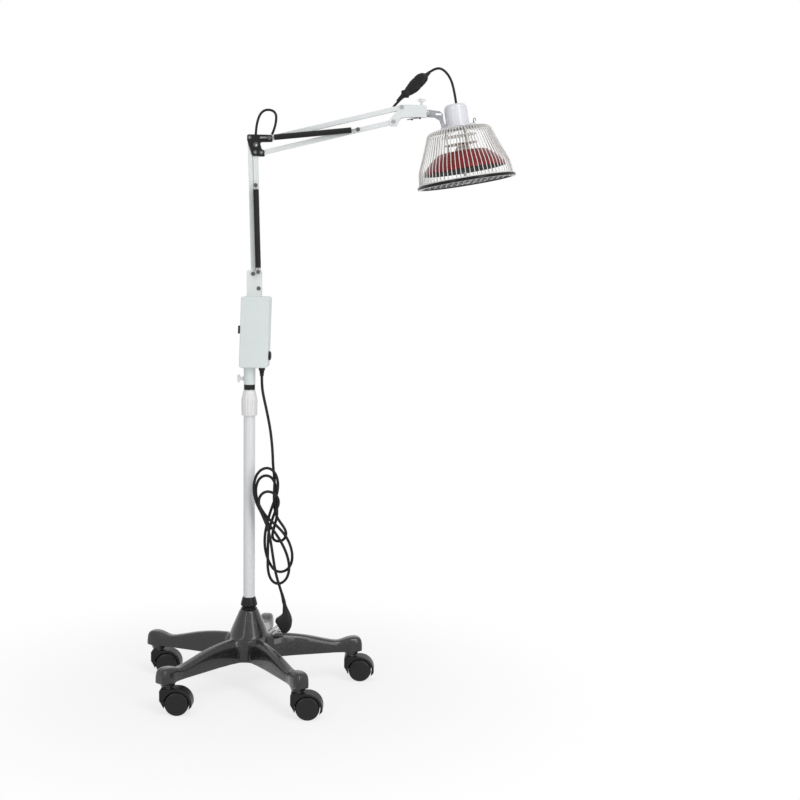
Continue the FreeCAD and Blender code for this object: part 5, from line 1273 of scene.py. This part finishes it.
class HEATLAMP_OT_stage(bpy.types.Operator):
    """Set up the camera, the floor and the studio light"""
    bl_idname = "heat_lamp.stage"
    bl_label = "Stage"

    def execute(self, context):
        """Camera first, then floor and light."""
        build_camera()
        build_floor()
        build_light(context.scene.heat_lamp_sizes.lamp_strength)
        context.scene.view_settings.view_transform = "Standard"
        return {"FINISHED"}


class HEATLAMP_OT_mains_lead(bpy.types.Operator):
    """Add the mains lead with its hank and plug"""
    bl_idname = "heat_lamp.mains_lead"
    bl_label = "Mains lead"

    def execute(self, context):
        """One lead, its relief, plug and blades."""
        build_mains_cord(context.scene.heat_lamp_sizes)
        return {"FINISHED"}


class HEATLAMP_OT_arm_leads(bpy.types.Operator):
    """Add the lead at the elbow and the one to the head"""
    bl_idname = "heat_lamp.arm_leads"
    bl_label = "Arm leads"

    def execute(self, context):
        """Both thin leads and the inline connector."""
        build_elbow_lead(context.scene.heat_lamp_sizes)
        build_head_lead(context.scene.heat_lamp_sizes)
        return {"FINISHED"}


class HEATLAMP_OT_base(bpy.types.Operator):
    """Add the five-star base"""
    bl_idname = "heat_lamp.base"
    bl_label = "Base"

    def execute(self, _context):
        """Hub, legs and necks."""
        build_base()
        return {"FINISHED"}


class HEATLAMP_OT_casters(bpy.types.Operator):
    """Add the five twin-wheel casters"""
    bl_idname = "heat_lamp.casters"
    bl_label = "Casters"

    def execute(self, _context):
        """Hoods, wheels and stems."""
        build_casters()
        return {"FINISHED"}


class HEATLAMP_OT_column(bpy.types.Operator):
    """Add the column, its mast and the twist grip"""
    bl_idname = "heat_lamp.column"
    bl_label = "Column"

    def execute(self, context):
        """Collar, column, bush, mast and grip."""
        build_column(context.scene.heat_lamp_sizes)
        return {"FINISHED"}


class HEATLAMP_OT_box(bpy.types.Operator):
    """Add the control box with its switch, knob and gland"""
    bl_idname = "heat_lamp.box"
    bl_label = "Control box"

    def execute(self, context):
        """Box, cover, socket, bracket, rocker, knob and gland."""
        build_box(context.scene.heat_lamp_sizes)
        return {"FINISHED"}


class HEATLAMP_OT_arms(bpy.types.Operator):
    """Add the balanced arms with their springs"""
    bl_idname = "heat_lamp.arms"
    bl_label = "Arms"

    def execute(self, context):
        """Bars, plates, pins and springs."""
        build_arms(context.scene.heat_lamp_sizes)
        build_springs()
        return {"FINISHED"}


class HEATLAMP_OT_wrist(bpy.types.Operator):
    """Add the wrist that turns and tilts the head"""
    bl_idname = "heat_lamp.wrist"
    bl_label = "Wrist"

    def execute(self, _context):
        """Wing screw, shank, strap and bolt."""
        build_wrist()
        return {"FINISHED"}


class HEATLAMP_OT_cap(bpy.types.Operator):
    """Add the head's cap, crown plate and clip"""
    bl_idname = "heat_lamp.cap"
    bl_label = "Cap"

    def execute(self, _context):
        """Cap, crown plate and clip."""
        build_cap()
        return {"FINISHED"}


class HEATLAMP_OT_cage(bpy.types.Operator):
    """Add the wire cage"""
    bl_idname = "heat_lamp.cage"
    bl_label = "Wire cage"

    def execute(self, context):
        """Wires and rings."""
        build_cage(context.scene.heat_lamp_sizes)
        return {"FINISHED"}


class HEATLAMP_OT_heater(bpy.types.Operator):
    """Add the dish, mineral plate and what stands above them"""
    bl_idname = "heat_lamp.heater"
    bl_label = "Heater"

    def execute(self, _context):
        """Dish, plate, shields, rods and insulator."""
        build_heater()
        return {"FINISHED"}


class HEATLAMP_OT_face(bpy.types.Operator):
    """Add the face grille and the front rim"""
    bl_idname = "heat_lamp.face"
    bl_label = "Face"

    def execute(self, _context):
        """Grille, centre screw and rim."""
        build_face()
        return {"FINISHED"}


OPERATORS = (HEATLAMP_OT_stage, HEATLAMP_OT_mains_lead, HEATLAMP_OT_arm_leads,
             HEATLAMP_OT_base, HEATLAMP_OT_casters, HEATLAMP_OT_column, HEATLAMP_OT_box,
             HEATLAMP_OT_arms, HEATLAMP_OT_wrist, HEATLAMP_OT_cap, HEATLAMP_OT_cage,
             HEATLAMP_OT_heater, HEATLAMP_OT_face)


class HEATLAMP_PT_pieces(bpy.types.Panel):
    """Sidebar panel with the lamp's pieces, sizes and colours"""
    bl_idname = "HEATLAMP_PT_pieces"
    bl_label = "Heat Lamp"
    bl_space_type = "VIEW_3D"
    bl_region_type = "UI"
    bl_category = "Heat Lamp"

    def draw(self, context):
        """Buttons first, then sizes and colours."""
        layout = self.layout
        column = layout.column(align=True)
        for operator in OPERATORS:
            column.operator(operator.bl_idname)
        for title, group in (("Sizes", context.scene.heat_lamp_sizes),
                             ("Colours", context.scene.heat_lamp_colours)):
            box = layout.box()
            box.label(text=title)
            for name in group.__annotations__:
                box.prop(group, name)


CLASSES = (HeatLampSizes, HeatLampColours, *OPERATORS, HEATLAMP_PT_pieces)


def register():
    """Make the classes and their properties known to Blender."""
    for item in CLASSES:
        bpy.utils.register_class(item)
    bpy.types.Scene.heat_lamp_sizes = bpy.props.PointerProperty(type=HeatLampSizes)
    bpy.types.Scene.heat_lamp_colours = bpy.props.PointerProperty(type=HeatLampColours)


def unregister():
    """Take the properties and classes away again."""
    del bpy.types.Scene.heat_lamp_colours
    del bpy.types.Scene.heat_lamp_sizes
    for item in reversed(CLASSES):
        bpy.utils.unregister_class(item)


def main():
    """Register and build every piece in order."""
    register()
    for operator in OPERATORS:
        name = operator.bl_idname.split(".")[1]
        getattr(bpy.ops.heat_lamp, name)()
    bpy.context.view_layer.update()


if __name__ == "__main__":
    main()
